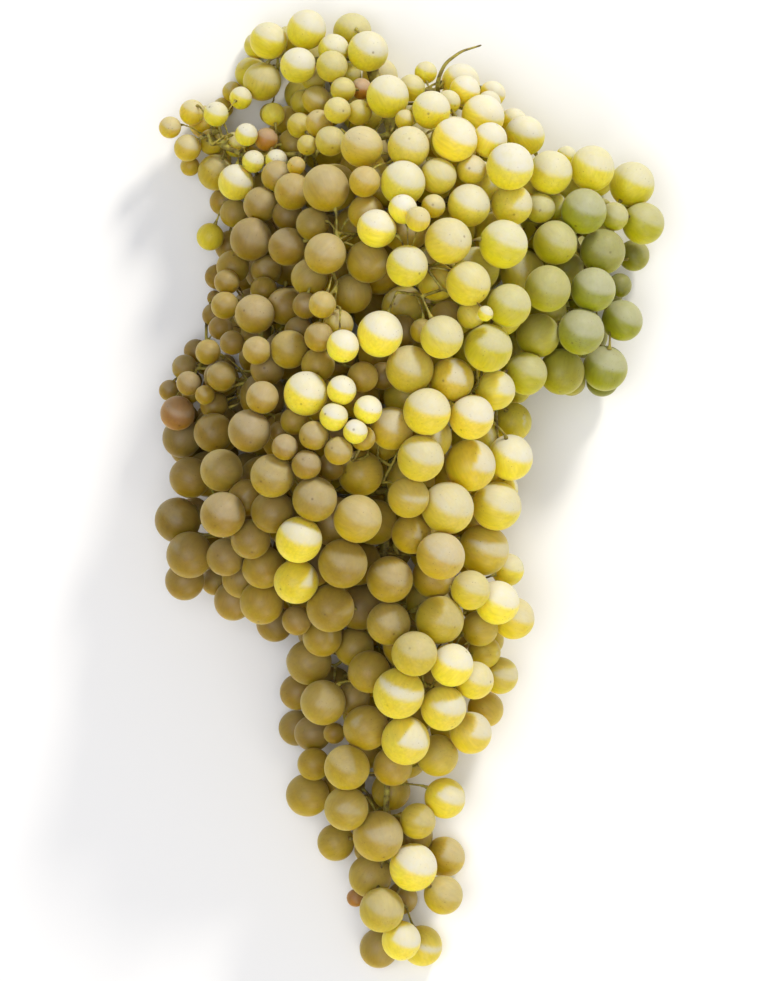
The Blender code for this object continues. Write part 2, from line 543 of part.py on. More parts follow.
def settle(centres, radii, planted):
    """Press the berries apart until none cuts into another, each near its own place."""
    floor = facet_radius(radii) - REST_FLAT
    places = centres.copy()
    places[:, 2] = np.where(places[:, 2] < RESTING_UNDER * radii, floor, places[:, 2])
    reach = TOUCH * (radii[:, None] + radii[None, :])
    np.fill_diagonal(reach, 0.0)
    bars = stalk_routes() + [tendril_route()]
    yielding = np.where(planted[:, None], PLANTED_YIELD, ADDED_YIELD)
    pull = np.where(planted[:, None], PLANTED_PULL, ADDED_PULL)
    for step in range(SETTLING_ROUNDS + PRESSING_ROUNDS):
        away = centres[:, None, :] - centres[None, :, :]
        distance = np.maximum(np.linalg.norm(away, axis=2), TINY)
        short = np.maximum(reach - distance, 0.0)
        push = (away * (short / distance)[:, :, None]).sum(axis=1) * GIVE_WAY
        if step < SETTLING_ROUNDS:
            push = push * yielding + (places - centres) * pull
        centres += push
        for points, thickness in bars:
            for start, end, radius in zip(points, points[1:], thickness):
                push_from_segment(centres, radii, start, end, radius + NODE_GAP)
        centres[:, 2] = np.maximum(centres[:, 2], floor)
    return centres


def fit_between_neighbours(centres, radii):
    """Take the last of any overlap off the berries that are still pressed too hard."""
    away = centres[:, None, :] - centres[None, :, :]
    distance = np.linalg.norm(away, axis=2)
    np.fill_diagonal(distance, 1.0)
    for _ in range(FITTING_ROUNDS):
        share = (distance / (TOUCH * (radii[:, None] + radii[None, :]))).min(axis=1)
        radii = radii * np.minimum(share, 1.0)
    return radii


# ---------------------------------------------------------------- sprays
def bar_clearance(centres, radii, start, end, skip):
    """Smallest gap between a thin bar's axis and the berries that aren't skipped."""
    axis = end - start
    share = np.clip((centres - start) @ axis / (axis @ axis), 0.0, 1.0)
    gap = np.linalg.norm(centres - (start + share[:, None] * axis), axis=1) - radii
    gap[list(skip)] = 1.0
    return gap.min()


def neighbour_pairs(centres, radii):
    """For each berry, the near ones with nothing in between, and the effort to reach each."""
    away = centres[:, None, :] - centres[None, :, :]
    distance = np.linalg.norm(away, axis=2)
    gap = distance - (radii[:, None] + radii[None, :])
    pairs = {i: [] for i in range(len(centres))}
    for i, j in zip(*np.where(np.triu(gap < PEDICEL_LONGEST, 1))):
        clear = bar_clearance(centres, radii, centres[i], centres[j], (i, j))
        if clear > PEDICEL_DIAMETER / 2 + NODE_GAP:
            effort = distance[i, j] + GAP_EFFORT * max(gap[i, j], 0.0)
            pairs[int(i)].append((int(j), effort))
            pairs[int(j)].append((int(i), effort))
    return pairs


def grow_sprays(centres, radii):
    """Share the berries out over the sprays, each growing from its middle berry."""
    pairs = neighbour_pairs(centres, radii)
    owner = {}
    parent = {}
    queue = []
    for name, place in SPRAYS.items():
        order = np.argsort(np.linalg.norm(centres - plan_point(place), axis=1))
        first = next(int(k) for k in order if int(k) not in owner)
        owner[first] = name
        parent[first] = None
        queue.extend((effort, j, first) for j, effort in pairs[first])
    heapq.heapify(queue)
    while queue:
        reached, j, i = heapq.heappop(queue)
        if j in owner:
            continue
        owner[j] = owner[i]
        parent[j] = i
        for following, effort in pairs[j]:
            if following not in owner:
                heapq.heappush(queue, (reached + effort, following, j))
    return owner, parent


# ---------------------------------------------------------------- solids
def mesh_object(name, mesh_data, material):
    """Put a bmesh into a new object of the scene, shaded smooth."""
    mesh = bpy.data.meshes.new(name)
    mesh_data.to_mesh(mesh)
    mesh_data.free()
    mesh.materials.append(material)
    mesh.shade_smooth()
    mesh.set_sharp_from_angle(angle=SMOOTH_UNDER)
    thing = bpy.data.objects.new(name, mesh)
    bpy.context.scene.collection.objects.link(thing)
    return thing


def berry_template():
    """Directions of the facets and corners of Blender's 20-sided ball."""
    ball = bmesh.new()
    bmesh.ops.create_icosphere(ball, subdivisions=1, radius=1.0)
    facets = np.array([face.calc_center_median().normalized()[:] for face in ball.faces])
    corners = np.array([corner.co[:] for corner in ball.verts])
    ball.free()
    return facets, corners


def best_turn(template, links, resting, index):
    """How a berry is turned: one facet faces the first of the berries it is joined to,
    and of the spins about that way, the one whose other facets face the rest best and,
    on a resting berry, whose lowest corner points down."""
    facets, corners = template
    first = Vector(facets[0])
    face_first = first.rotation_difference(Vector(links[0])).to_matrix()
    best = None
    for step in range(SPIN_TRIES):
        angle = index * GOLDEN_ANGLE + step * 2 * math.pi / SPIN_TRIES
        turn = face_first @ Matrix.Rotation(angle, 3, first)
        turned = facets @ np.array(turn).T
        score = min((turned @ np.array(link)).max() for link in links)
        if resting:
            score -= RESTING_WEIGHT * (corners @ np.array(turn).T)[:, 2].min()
        if best is None or score > best[0]:
            best = (score, turn)
    return best[1]


def take_facing(facets, way):
    """Take the free facet that faces one way out of a berry's list."""
    for facet in facets:
        facet.normal_update()
    facing = max(facets, key=lambda facet: facet.normal.dot(way))
    facets.remove(facing)
    return facing


def open_facet(mesh_data, facet, share):
    """Open a hole of the facet's own shape in it: its corners, in their order."""
    outer = [loop.vert for loop in facet.loops]
    middle = facet.calc_center_median()
    mesh_data.faces.remove(facet)
    if share == 1.0:
        return outer
    inner = [mesh_data.verts.new(middle.lerp(corner.co, share)) for corner in outer]
    for k in range(3):
        after = (k + 1) % 3
        mesh_data.faces.new((outer[k], outer[after], inner[after], inner[k]))
    return inner


def bridge(mesh_data, one, other):
    """Close the gap between two three-cornered holes with the least twist."""
    def twist(start):
        return sum((one[k].co - other[(start - k) % 3].co).length for k in range(3))
    start = min(range(3), key=twist)
    for k in range(3):
        after = (k + 1) % 3
        mesh_data.faces.new(
            (one[k], one[after], other[(start - after) % 3], other[(start - k) % 3]))


def twig_object(start, end, material):
    """A straight tapering twig with flat ends."""
    axis = Vector(end) - Vector(start)
    turn = axis.to_track_quat("Z", "Y").to_matrix().to_4x4()
    middle = Matrix.Translation((Vector(start) + Vector(end)) / 2)
    mesh_data = bmesh.new()
    bmesh.ops.create_cone(
        mesh_data, cap_ends=True, segments=TWIG_SIDES, depth=axis.length, matrix=middle @ turn,
        radius1=TWIG_DIAMETER / 2, radius2=TWIG_DIAMETER / 2 * TWIG_END)
    return mesh_object("twig", mesh_data, material)


def join(thing, other):
    """Unite an object with another one, which is used up."""
    union = thing.modifiers.new("union", "BOOLEAN")
    union.operation = "UNION"
    union.solver = "EXACT"
    union.use_self = True
    union.object = other
    bpy.context.view_layer.update()
    depsgraph = bpy.context.evaluated_depsgraph_get()
    mesh = bpy.data.meshes.new_from_object(thing.evaluated_get(depsgraph))
    thing.modifiers.clear()
    thing.data = mesh
    bpy.data.objects.remove(other)


def make_spray(name, members, centres, radii, parent, material):
    """One spray: its faceted berries, each joined to the berry that it grows from."""
    template = berry_template()
    links = {i: [] for i in members}
    for i in members:
        if parent[i] is not None:
            away = Vector(centres[parent[i]]) - Vector(centres[i])
            links[i].insert(0, away.normalized())
            links[parent[i]].append(-away.normalized())
    mesh_data = bmesh.new()
    facets = {}
    for i in members:
        radius = facet_radius(radii[i])
        resting = centres[i][2] < radius
        ways = links[i] or [Vector((0.0, 0.0, 1.0))]
        turn = best_turn(template, ways, resting, i).to_4x4()
        matrix = Matrix.Translation(Vector(centres[i])) @ turn
        bmesh.ops.create_icosphere(mesh_data, subdivisions=1, radius=radius, matrix=matrix)
        facets[i] = list(mesh_data.faces)[-len(template[0]):]
    for i in members:
        if parent[i] is not None:
            join_berries(mesh_data, facets, centres, radii, parent[i], i)
    bisect_at_surface(mesh_data)
    return mesh_object(name, mesh_data, material)


def join_berries(mesh_data, facets, centres, radii, i, j):
    """Join berry j to berry i, which it grows from, by a short pedicel."""
    away = Vector(centres[j]) - Vector(centres[i])
    radius_i = facet_radius(radii[i])
    radius_j = facet_radius(radii[j])
    near = away.length - radius_i - radius_j < NEAR_SHARE * radius_j
    facet_i = take_facing(facets[i], away)
    facet_j = take_facing(facets[j], -away)
    straight = facet_i.normal.dot(away.normalized()) > JOIN_STRAIGHT
    share_i = PEDICEL_SHARE * min(1.0, radius_j / radius_i)
    share_j = 1.0
    if not near or not straight or radius_j > JOIN_SIZE_RATIO * radius_i:
        share_j = PEDICEL_SHARE * min(1.0, radius_i / radius_j)
    bridge(mesh_data, open_facet(mesh_data, facet_j, share_j),
           open_facet(mesh_data, facet_i, share_i))


def bisect_at_surface(mesh_data):
    """Cut everything below the surface that the bunch rests on, leaving flat faces."""
    geometry = list(mesh_data.verts) + list(mesh_data.edges) + list(mesh_data.faces)
    cut = bmesh.ops.bisect_plane(
        mesh_data, geom=geometry, plane_co=(0, 0, 0), plane_no=(0, 0, -1), clear_outer=True)
    rim = [item for item in cut["geom_cut"] if isinstance(item, bmesh.types.BMEdge)]
    bmesh.ops.edgenet_fill(mesh_data, edges=rim)


def tube_object(name, points, radii, material):
    """A tapering tube along a route, closed at both ends."""
    mesh_data = bmesh.new()
    rings = []
    frame = None
    for k, point in enumerate(points):
        ahead = points[min(k + 1, len(points) - 1)] - points[max(k - 1, 0)]
        direction = Vector(ahead).normalized()
        if frame is None:
            frame = direction.orthogonal().normalized()
        frame = (frame - direction * frame.dot(direction)).normalized()
        side = direction.cross(frame)
        ring = []
        for step in range(STALK_SIDES):
            angle = 2 * math.pi * step / STALK_SIDES
            offset = (frame * math.cos(angle) + side * math.sin(angle)) * radii[k]
            ring.append(mesh_data.verts.new(Vector(point) + offset))
        rings.append(ring)
    for ring, following in zip(rings, rings[1:]):
        for step in range(STALK_SIDES):
            after = (step + 1) % STALK_SIDES
            mesh_data.faces.new((ring[step], ring[after], following[after], following[step]))
    mesh_data.faces.new(list(reversed(rings[0])))
    mesh_data.faces.new(rings[-1])
    return mesh_object(name, mesh_data, material)


def twig_for_spray(members, centres, radii, routes):
    """The shortest clear way from the stalk to a berry of the spray: its two ends."""
    shortest = None
    ends = None
    for points, _ in routes:
        # A twig never starts on the flat end of a route, which it would only touch.
        for start in points[1:-1]:
            for i in members:
                length = np.linalg.norm(centres[i] - start)
                reach = length - facet_radius(radii[i]) - NODE_GAP
                if shortest is not None and reach >= shortest or reach < TWIG_DIAMETER:
                    continue
                clear = bar_clearance(centres, radii, start, centres[i], (i,))
                if clear > TWIG_DIAMETER / 2 + NODE_GAP:
                    shortest = reach
                    ends = (start, start + (centres[i] - start) * reach / length)
    return ends


def make_stalk(sprays, centres, radii, material):
    """Peduncle, rachis, arms and a twig to every spray that one can reach."""
    routes = stalk_routes()
    stalk = tube_object("stalk", *routes[0], material)
    for points, thickness in routes[1:]:
        join(stalk, tube_object("arm", points, thickness, material))
    for members in sprays.values():
        ends = twig_for_spray(members, centres, radii, routes)
        if ends is not None:
            join(stalk, twig_object(*ends, material))
    return stalk


def make_bunch():
    """Build the whole bunch with its origin at the bottom centre of its box."""
    centres, radii = planted_berries()
    planted_count = len(centres)
    add_back_berries(centres, radii, planted_count)
    add_inner_berries(centres, radii, planted_count)
    centres = np.array(centres)
    radii = np.array(radii)
    planted = np.arange(len(centres)) < planted_count
    centres = settle(centres, radii, planted)
    radii = fit_between_neighbours(centres, radii)
    owner, parent = grow_sprays(centres, radii)
    green = principled("grape_skin_green", (0.20, 0.19, 0.02), 0.35)
    golden = principled("grape_skin_golden", (0.66, 0.58, 0.08), 0.35)
    amber = principled("grape_skin_amber", (0.36, 0.22, 0.05), 0.4)
    bark = principled("green_stalk", (0.42, 0.36, 0.08), 0.6)
    sprays = {name: [i for i in sorted(owner) if owner[i] == name] for name in SPRAYS}
    things = []
    for name, members in sprays.items():
        skin = golden
        if name.startswith(GREEN_SPRAYS):
            skin = green
        elif name.startswith(AMBER_SPRAYS):
            skin = amber
        things.append(make_spray(name, members, centres, radii, parent, skin))
    things.append(make_stalk(sprays, centres, radii, bark))
    things.append(tube_object("tendril", *tendril_route(), bark))
    corners = np.array([tuple(v.co) for thing in things for v in thing.data.vertices])
    middle = (corners.min(axis=0) + corners.max(axis=0)) / 2
    shift = Matrix.Translation((-middle[0], -middle[1], 0.0))
    for thing in things:
        thing.data.transform(shift)
    print("berries:", len(centres), "planted:", planted_count)
    print("berries in each spray:", {name: len(members) for name, members in sprays.items()})
    print("box:", corners.max(axis=0) - corners.min(axis=0), "lowest:", corners.min(axis=0)[2])
    print("triangles:", sum(len(p.vertices) - 2 for t in things for p in t.data.polygons))


for leftover in list(bpy.data.objects):
    bpy.data.objects.remove(leftover)
make_bunch()
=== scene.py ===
# %% [markdown]
# # A large bunch of white wine grapes, lying on its back
#
# A bunch is a woody stalk that branches again and again, and every last twig, a
# pedicel, holds one berry. The CAD model holds the bunch as faceted balls. This lesson
# grows the real thing around it: round, waxy, translucent berries that press flat on
# each other, a branching stalk, and one curled tendril.

# %% Load the frame
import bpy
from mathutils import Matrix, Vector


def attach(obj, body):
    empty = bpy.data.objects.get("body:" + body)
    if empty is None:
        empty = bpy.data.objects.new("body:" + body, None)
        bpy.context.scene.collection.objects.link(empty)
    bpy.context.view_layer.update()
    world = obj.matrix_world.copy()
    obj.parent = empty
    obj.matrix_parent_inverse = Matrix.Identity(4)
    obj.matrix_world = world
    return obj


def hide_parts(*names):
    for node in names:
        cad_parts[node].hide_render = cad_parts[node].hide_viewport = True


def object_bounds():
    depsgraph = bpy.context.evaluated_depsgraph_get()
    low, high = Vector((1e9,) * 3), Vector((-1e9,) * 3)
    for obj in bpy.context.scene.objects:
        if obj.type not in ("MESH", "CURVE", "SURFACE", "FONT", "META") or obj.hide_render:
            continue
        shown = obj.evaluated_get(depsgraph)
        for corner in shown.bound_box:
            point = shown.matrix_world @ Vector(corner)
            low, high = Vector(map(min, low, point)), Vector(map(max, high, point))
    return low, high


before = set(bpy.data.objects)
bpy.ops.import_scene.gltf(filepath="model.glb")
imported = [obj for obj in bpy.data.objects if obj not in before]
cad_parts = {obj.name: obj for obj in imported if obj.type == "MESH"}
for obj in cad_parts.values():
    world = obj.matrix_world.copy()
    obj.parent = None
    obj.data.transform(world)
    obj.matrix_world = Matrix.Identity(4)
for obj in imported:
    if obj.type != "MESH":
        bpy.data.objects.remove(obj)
cad_box = [list(corner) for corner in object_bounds()]

import math

import bmesh
import bpy
import numpy as np
from mathutils import Vector

MM = 0.001
TINY = 1e-9                  # keeps a division from being by zero
ROOT = "root"
STALK_NODES = ("stalk", "tendril")
spray_names = sorted(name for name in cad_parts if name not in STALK_NODES)
print("sprays:", len(spray_names), "box:", cad_box)

# %% [markdown]
# ## Small helpers for materials
#
# A colour is written the way a painter's program shows it, as sRGB hex, and Blender
# wants it linear, so one function converts. A second one adds a node, sets its values
# and links its inputs, which keeps every material below short.


# %% Colour and node helpers
def linear(hex_colour):
    """An sRGB hex colour such as "#8090a0" as linear (r, g, b, 1)."""
    channels = [int(hex_colour[k:k + 2], 16) / 255 for k in (1, 3, 5)]
    return tuple(c / 12.92 if c <= 0.04045 else ((c + 0.055) / 1.055) ** 2.4 for c in channels) + (1.0,)


def add_node(tree, kind, settings=None, inputs=None):
    """Add a node, set its properties, and set or link its inputs."""
    node = tree.nodes.new(kind)
    for key, value in (settings or {}).items():
        setattr(node, key, value)
    for key, value in (inputs or {}).items():
        if isinstance(value, bpy.types.NodeSocket):
            tree.links.new(value, node.inputs[key])
        else:
            node.inputs[key].default_value = value
    return node


def new_material(name):
    """An empty node material and its output node."""
    material = bpy.data.materials.new(name)
    material.use_nodes = True
    material.node_tree.nodes.clear()
    return material, material.node_tree.nodes.new("ShaderNodeOutputMaterial")


print("a middle grey in linear light:", round(linear("#808080")[0], 3))

# %% [markdown]
# ## Where the berries are
#
# Every berry in the CAD model is a ball of twenty equal triangles. Two neighbouring
# triangles of such a ball always meet at the same angle, so each pair tells where the
# ball's middle is and how large it is. Each pair casts a vote, and votes that agree are
# one berry. Like this the berries come from the frame itself, and none is placed by
# hand.

# %% Find every berry in the frame
GOLDEN_RATIO = (1 + math.sqrt(5)) / 2
CORNER_DISTANCE = math.sin(2 * math.pi / 5)     # from the middle to a corner, in edges
EDGE_DISTANCE = GOLDEN_RATIO / 2                # from the middle to an edge's midpoint
PAIR_TOLERANCE = 0.01
SAME_BERRY = 0.3 * MM
WELD = 0.001 * MM
# The CAD balls are smaller than the berries, so that they stay clear of each other:
# touching berries have their middles at this share of touching, and half this gap.
CAD_TOUCH = 0.965
CAD_GAP = 0.3 * MM


def welded(mesh):
    """The mesh's triangles, as an array of their three corners' numbers, and the corners."""
    mesh.calc_loop_triangles()
    corners = np.empty(len(mesh.vertices) * 3)
    mesh.vertices.foreach_get("co", corners)
    corners = corners.reshape(-1, 3)
    triangles = np.empty(len(mesh.loop_triangles) * 3, dtype=np.int64)
    mesh.loop_triangles.foreach_get("vertices", triangles)
    _, first, number = np.unique(
        np.round(corners / WELD).astype(np.int64), axis=0, return_index=True, return_inverse=True)
    return number.reshape(-1)[triangles].reshape(-1, 3), corners[first]


def ball_votes(mesh):
    """(middle, radius) for each pair of neighbouring triangles that fits a ball."""
    triangles, corners = welded(mesh)
    beside = {}
    for triangle in triangles:
        for k in range(3):
            one, other, opposite = triangle[k], triangle[(k + 1) % 3], triangle[(k + 2) % 3]
            beside.setdefault((min(one, other), max(one, other)), []).append(opposite)
    votes = []
    for (one, other), opposites in beside.items():
        if len(opposites) != 2:
            continue
        a, b, c, d = corners[[one, other, *opposites]]
        edge = np.linalg.norm(b - a)
        sides = [np.linalg.norm(p - q) for p in (c, d) for q in (a, b)]
        across = np.linalg.norm(c - d) / GOLDEN_RATIO
        if max(abs(length / edge - 1) for length in (*sides, across)) > PAIR_TOLERANCE:
            continue
        outward = (a + b) / 2 - (c + d) / 2
        outward /= np.linalg.norm(outward)
        votes.append((*((a + b) / 2 - outward * EDGE_DISTANCE * edge), edge * CORNER_DISTANCE))
    return np.array(votes)


def berries_of(mesh):
    """Middles and true radii of the berries of one spray."""
    votes = ball_votes(mesh)
    found = []
    while len(votes):
        same = np.linalg.norm(votes[:, :3] - votes[0, :3], axis=1) < SAME_BERRY
        found.append(votes[same].mean(axis=0))
        votes = votes[~same]
    found = np.array(found)
    return found[:, :3], (found[:, 3] + CAD_GAP / 2) / CAD_TOUCH


spray_members = {}
all_centres = []
all_radii = []
for name in spray_names:
    centres, radii = berries_of(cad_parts[name].data)
    start = sum(len(group) for group in all_centres)
    spray_members[name] = range(start, start + len(centres))
    all_centres.append(centres)
    all_radii.append(radii)
centres = np.concatenate(all_centres)
radii = np.concatenate(all_radii)
count = len(centres)
print("berries:", count, "diameters from", 2 * radii.min() / MM, "to", 2 * radii.max() / MM, "mm")

# %% [markdown]
# ## Which way each berry hangs
#
# A berry has an axis: the pedicel grows into one end, and at the other sits the dark
# scar that the flower's style left. Berries point away from the stalk and, because the
# bunch hung while it grew, a little towards its tail. The stalk's corners in the frame
# say where the stalk is.

# %% Axes and a fixed random number for each berry
TAILWARD = 0.40              # how much a berry leans to the tail, as a share of straight out
SCATTER = 0.28               # how much the axes differ by chance
random = np.random.default_rng(12)


def unit(vectors):
    """The vectors, each made one long."""
    return vectors / np.maximum(np.linalg.norm(vectors, axis=-1, keepdims=True), TINY)


_, stalk_corners = welded(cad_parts["stalk"].data)
nearest = np.array([
    stalk_corners[np.argmin(np.linalg.norm(stalk_corners - centre, axis=1))] for centre in centres])
outward = unit(centres - nearest)
axes = unit(outward + np.array([0.0, -TAILWARD, 0.0]) + random.normal(0, SCATTER, (count, 3)))
chance = random.random((count, 4))
print("mean axis:", axes.mean(axis=0).round(2))

# %% [markdown]
# ## Ripeness, and painted light and shade
#
# White grapes turn from green over yellow to amber, and the berries that get the most
# sun are the furthest. On this bunch the wing is still green, the middle is golden and
# the far side is amber. A few spots placed over the bunch say how ripe the skin is
# around them and how bright it is painted: this brightness is painted shade and painted
# sunlight. Each berry takes the mean of the spots near it, which gives soft changes
# from one side to the other, plus a little of its own.

# %% Ripeness and painted brightness of each berry
box_low, box_high = (np.array(corner) for corner in cad_box)
middle = (box_low + box_high) / 2
# Each spot is (across, along) in mm from the bunch's middle, ripeness, and painted brightness: painted
# shade below 1, painted sunlight about 1 and over.
RIPENESS_AND_PAINTED_LIGHT_SPOTS = [
    ((62, 70), 0.05, 0.40), ((60, 45), 0.02, 0.44), ((72, 102), 0.48, 0.98),
    ((30, 110), 0.55, 1.02), ((0, 125), 0.58, 0.95), ((-30, 145), 0.44, 0.72),
    ((-65, 118), 0.66, 0.82), ((-25, 112), 0.80, 0.60), ((-50, 80), 0.86, 0.60),
    ((25, 70), 0.55, 1.02), ((0, 60), 0.68, 0.76), ((-25, 70), 0.84, 0.58),
    ((-70, 40), 0.90, 0.62), ((-20, 28), 0.80, 0.74), ((24, 25), 0.55, 1.08),
    ((24, -10), 0.60, 1.00), ((-25, -15), 0.80, 0.68), ((-68, -5), 0.92, 0.58),
    ((-48, -38), 0.84, 0.80), ((0, -37), 0.86, 0.42), ((27, -38), 0.66, 0.86),
    ((-25, -75), 0.84, 0.60), ((14, -68), 0.62, 1.05), ((4, -100), 0.68, 0.82),
    ((-15, -120), 0.80, 0.66), ((0, -145), 0.68, 0.68),
]
SPOT_REACH = 22 * MM
OWN_RIPENESS = 0.16          # how far berries side by side differ in ripeness
OWN_BRIGHTNESS = 0.10        # and in brightness
spot_places = np.array([spot[0] for spot in RIPENESS_AND_PAINTED_LIGHT_SPOTS]) * MM + middle[:2]
spot_distance = np.linalg.norm(centres[:, None, :2] - spot_places[None], axis=2)
weights = np.exp(-spot_distance ** 2 / (2 * SPOT_REACH ** 2)) + TINY
weights /= weights.sum(axis=1, keepdims=True)
ripeness = weights @ np.array([spot[1] for spot in RIPENESS_AND_PAINTED_LIGHT_SPOTS])
ripeness += (chance[:, 0] - 0.5) * OWN_RIPENESS
painted_brightness = weights @ np.array([spot[2] for spot in RIPENESS_AND_PAINTED_LIGHT_SPOTS])
painted_brightness *= 1 + (chance[:, 1] - 0.5) * OWN_BRIGHTNESS
print("ripeness from", ripeness.min().round(2), "to", ripeness.max().round(2))

# %% [markdown]
# ## Berries deep in the bunch
#
# Berries inside the bunch lie in shade, and that shade is painted on them: their skins
# are painted darker and browner. How deep a berry lies could be guessed from its
# distance to the outside, but the outline is ragged. So each berry looks in many
# directions, and the share of looks that no neighbour blocks says how open its place is.

# %% How open each berry's place is
LOOKS = 96
CROWD_REACH = 45 * MM        # how far a look goes
DEEP_OPENNESS = 0.02         # a berry this closed in is as dull as it gets
OUTER_OPENNESS = 0.20        # and one this open is not dulled at all
# Painted shade: a buried berry is painted this much darker, and this much browner.
PAINTED_INNER_SHADE = 0.80
PAINTED_INNER_BROWNING = 0.40
spacing = np.linalg.norm(centres[:, None] - centres[None], axis=2)
np.fill_diagonal(spacing, 1.0)
openness = np.zeros(count)
for look in unit(random.normal(size=(LOOKS, 3))):
    ahead = (centres[None] - centres[:, None]) @ look
    aside = np.sqrt(np.maximum(spacing ** 2 - ahead ** 2, 0.0))
    blocked = ((ahead > 0) & (ahead < CROWD_REACH) & (aside < radii)).any(axis=1)
    openness += ~blocked / LOOKS
buried = np.interp(openness, [DEEP_OPENNESS, OUTER_OPENNESS], [1.0, 0.0])
painted_brightness *= 1 - PAINTED_INNER_SHADE * buried
ripeness += PAINTED_INNER_BROWNING * buried
print("berries deep inside:", (buried > 0.5).sum(), "on the outside:", (buried == 0).sum())

# %% [markdown]
# ## Berries that stand out
# Here and there one berry sat in the open and caught the sun that its neighbours
# missed. That sunlight is painted on it: it is painted paler and brighter, and so gets
# a thick coat of cream. A few others are russet or have begun to dry. Such berries are
# picked one by one: a spot names the highest berry over a place, so the list still
# works when a berry moves a little.

# %% Sunny and russet berries
# Places as (across, along) in mm from the bunch's middle.
SUNNY_SPOTS = [
    (-33, 32), (-22, 33), (-24, 24), (-17, 19), (-13, 26), (-36, -15), (-37, -29),
    (-22, 47), (-10, 50), (-2, 90), (-12, 86), (-59, 103), (-4, -64), (11, -70),
    (-2, -80), (1, -122), (11, -101), (4, -149), (-3, -148), (15, -58), (28, -35),
]
SUNNY_CROWN_SPOTS = [
    (-46, 150), (-34, 154), (-25, 147), (-13, 146), (-36, 141), (-7, 129), (-56, 131),
    (-64, 126), (-45, 125), (-54, 118), (-51, 109), (-44, 109), (-66, 85), (-1, 75),
    (-1, 98),
]
SUNNY_GREEN_SPOTS = [(57, 91), (60, 67), (57, 53), (65, 43), (69, 59)]
RUSSET_SPOTS = [(-16, 133), (-47, 116), (-76, 26), (-18, -136)]
# Each group of places with the ripeness and the painted brightness, painted sunlight, that its berries
# get.
STANDING_OUT = (
    (SUNNY_SPOTS, 0.58, 1.0), (SUNNY_CROWN_SPOTS, 0.50, 0.92), (SUNNY_GREEN_SPOTS, 0.14, 0.76))


def top_berries(spots):
    """For each spot (across, along) in mm, the number of the highest berry over it."""
    offsets = centres[:, :2] - (np.array(spots) * MM + middle[:2])[:, None]
    over = np.linalg.norm(offsets, axis=2) < radii
    return np.argmax(np.where(over, centres[:, 2], -1.0), axis=1)


for spots, sun_ripeness, painted_sun_brightness in STANDING_OUT:
    ripeness[top_berries(spots)] = sun_ripeness
    painted_brightness[top_berries(spots)] = painted_sun_brightness
russet = np.zeros(count)
russet[top_berries(RUSSET_SPOTS)] = 1.0
print("sunny:", sum(len(spots) for spots, _, _ in STANDING_OUT), "russet:", int(russet.sum()))

# %% [markdown]
# ## Bloom, and painted sunlight and shadows
#
# Bloom is a film of pale wax. Its thick cream coat here is painted sunlight: it lies on
# the side that faces the sun, and painted shadows keep it thin where another berry
# stands between the skin and the sun, so a berry is creamy on one side and clear on
# the other. A point counts as sunlit when no other berry stands between it and the sun.

# %% Where the sun reached the skin, for the painted shadows
# The painted sunlight and its shadows come from this side.
SUN_SIDE = unit(np.array([0.34, 0.82, 0.46]))
SHADOW_EDGE = 0.5 * MM       # how soft the edge of a neighbour's painted shadow is


def sun_reach(i, points):
    """How much sun each point of one berry saw, from 0 to 1; less than 1 is a painted shadow."""
    seen = np.ones(len(points))
    between = centres - centres[i]
    along = between @ SUN_SIDE
    aside = np.linalg.norm(between - along[:, None] * SUN_SIDE, axis=1)
    in_the_way = (along > radii[i] / 2) & (aside < radii[i] + radii)
    for j in np.where(in_the_way)[0]:
        gap = centres[j] - points
        ahead = gap @ SUN_SIDE
        miss = np.linalg.norm(gap - ahead[:, None] * SUN_SIDE, axis=1) - radii[j]
        seen *= np.where(ahead > 0, (miss / SHADOW_EDGE + 0.5).clip(0, 1), 1.0)
    return seen


print("the sun's side:", SUN_SIDE.round(2))

# %% [markdown]
# ## What each point of a skin looks like
# A material cannot see a berry's neighbours, so what it needs is worked out here and
# stored at each point of the mesh: the ripeness, the painted brightness, how much bloom
# and painted sunlight lies there, and a number of the berry's own. A shaded berry has a
# thin haze of bloom, thicker towards the sun, and a sunny one a thick coat of painted
# sunlight that starts where the skin turns to the sun. A painted glow makes the side
# away from the sun brighter, as light that went in on the sunny side would come out on
# the other, and a berry in its neighbours' shadow is painted darker and browner.

# %% Traits of each point
FULLY_RIPE = 0.92            # the ripest a sound berry gets; above it lies russet
SUN_SWAY = 0.10              # how far the painted sun coat's direction differs from berry to berry
PAINTED_SUN_COAT_FACING = (0.28, 0.50)   # the painted sun coat rises between these, 1 being straight at the sun
# The haze is thicker towards the sun: partly bloom, partly painted light.
HAZE_FACING = (-0.3, 0.7)
DIM_AND_SUNNY = (0.55, 0.95)   # painted brightness of a shaded berry and of a sunny one,
HAZE_AMOUNT = (0.30, 0.12)     # with the haze
PAINTED_SUN_COAT_AMOUNT = (0.36, 0.90)     # and the painted sun coat that they have
PAINTED_SUN_COAT_SWAY = 0.10
# Painted glow: the side away from the sun is painted brighter.
PAINTED_GLOW_FACING = (-0.95, -0.35, 0.3)
PAINTED_GLOW_AMOUNT = (1.45, 1.10, 1.0)
BRIGHTEST = 1.15
PAINTED_SHADE_TONE = 0.18            # painted shade: how much darker a berry is painted that saw no sun,
PAINTED_SHADE_BROWNING = 0.07        # and how much browner it is painted


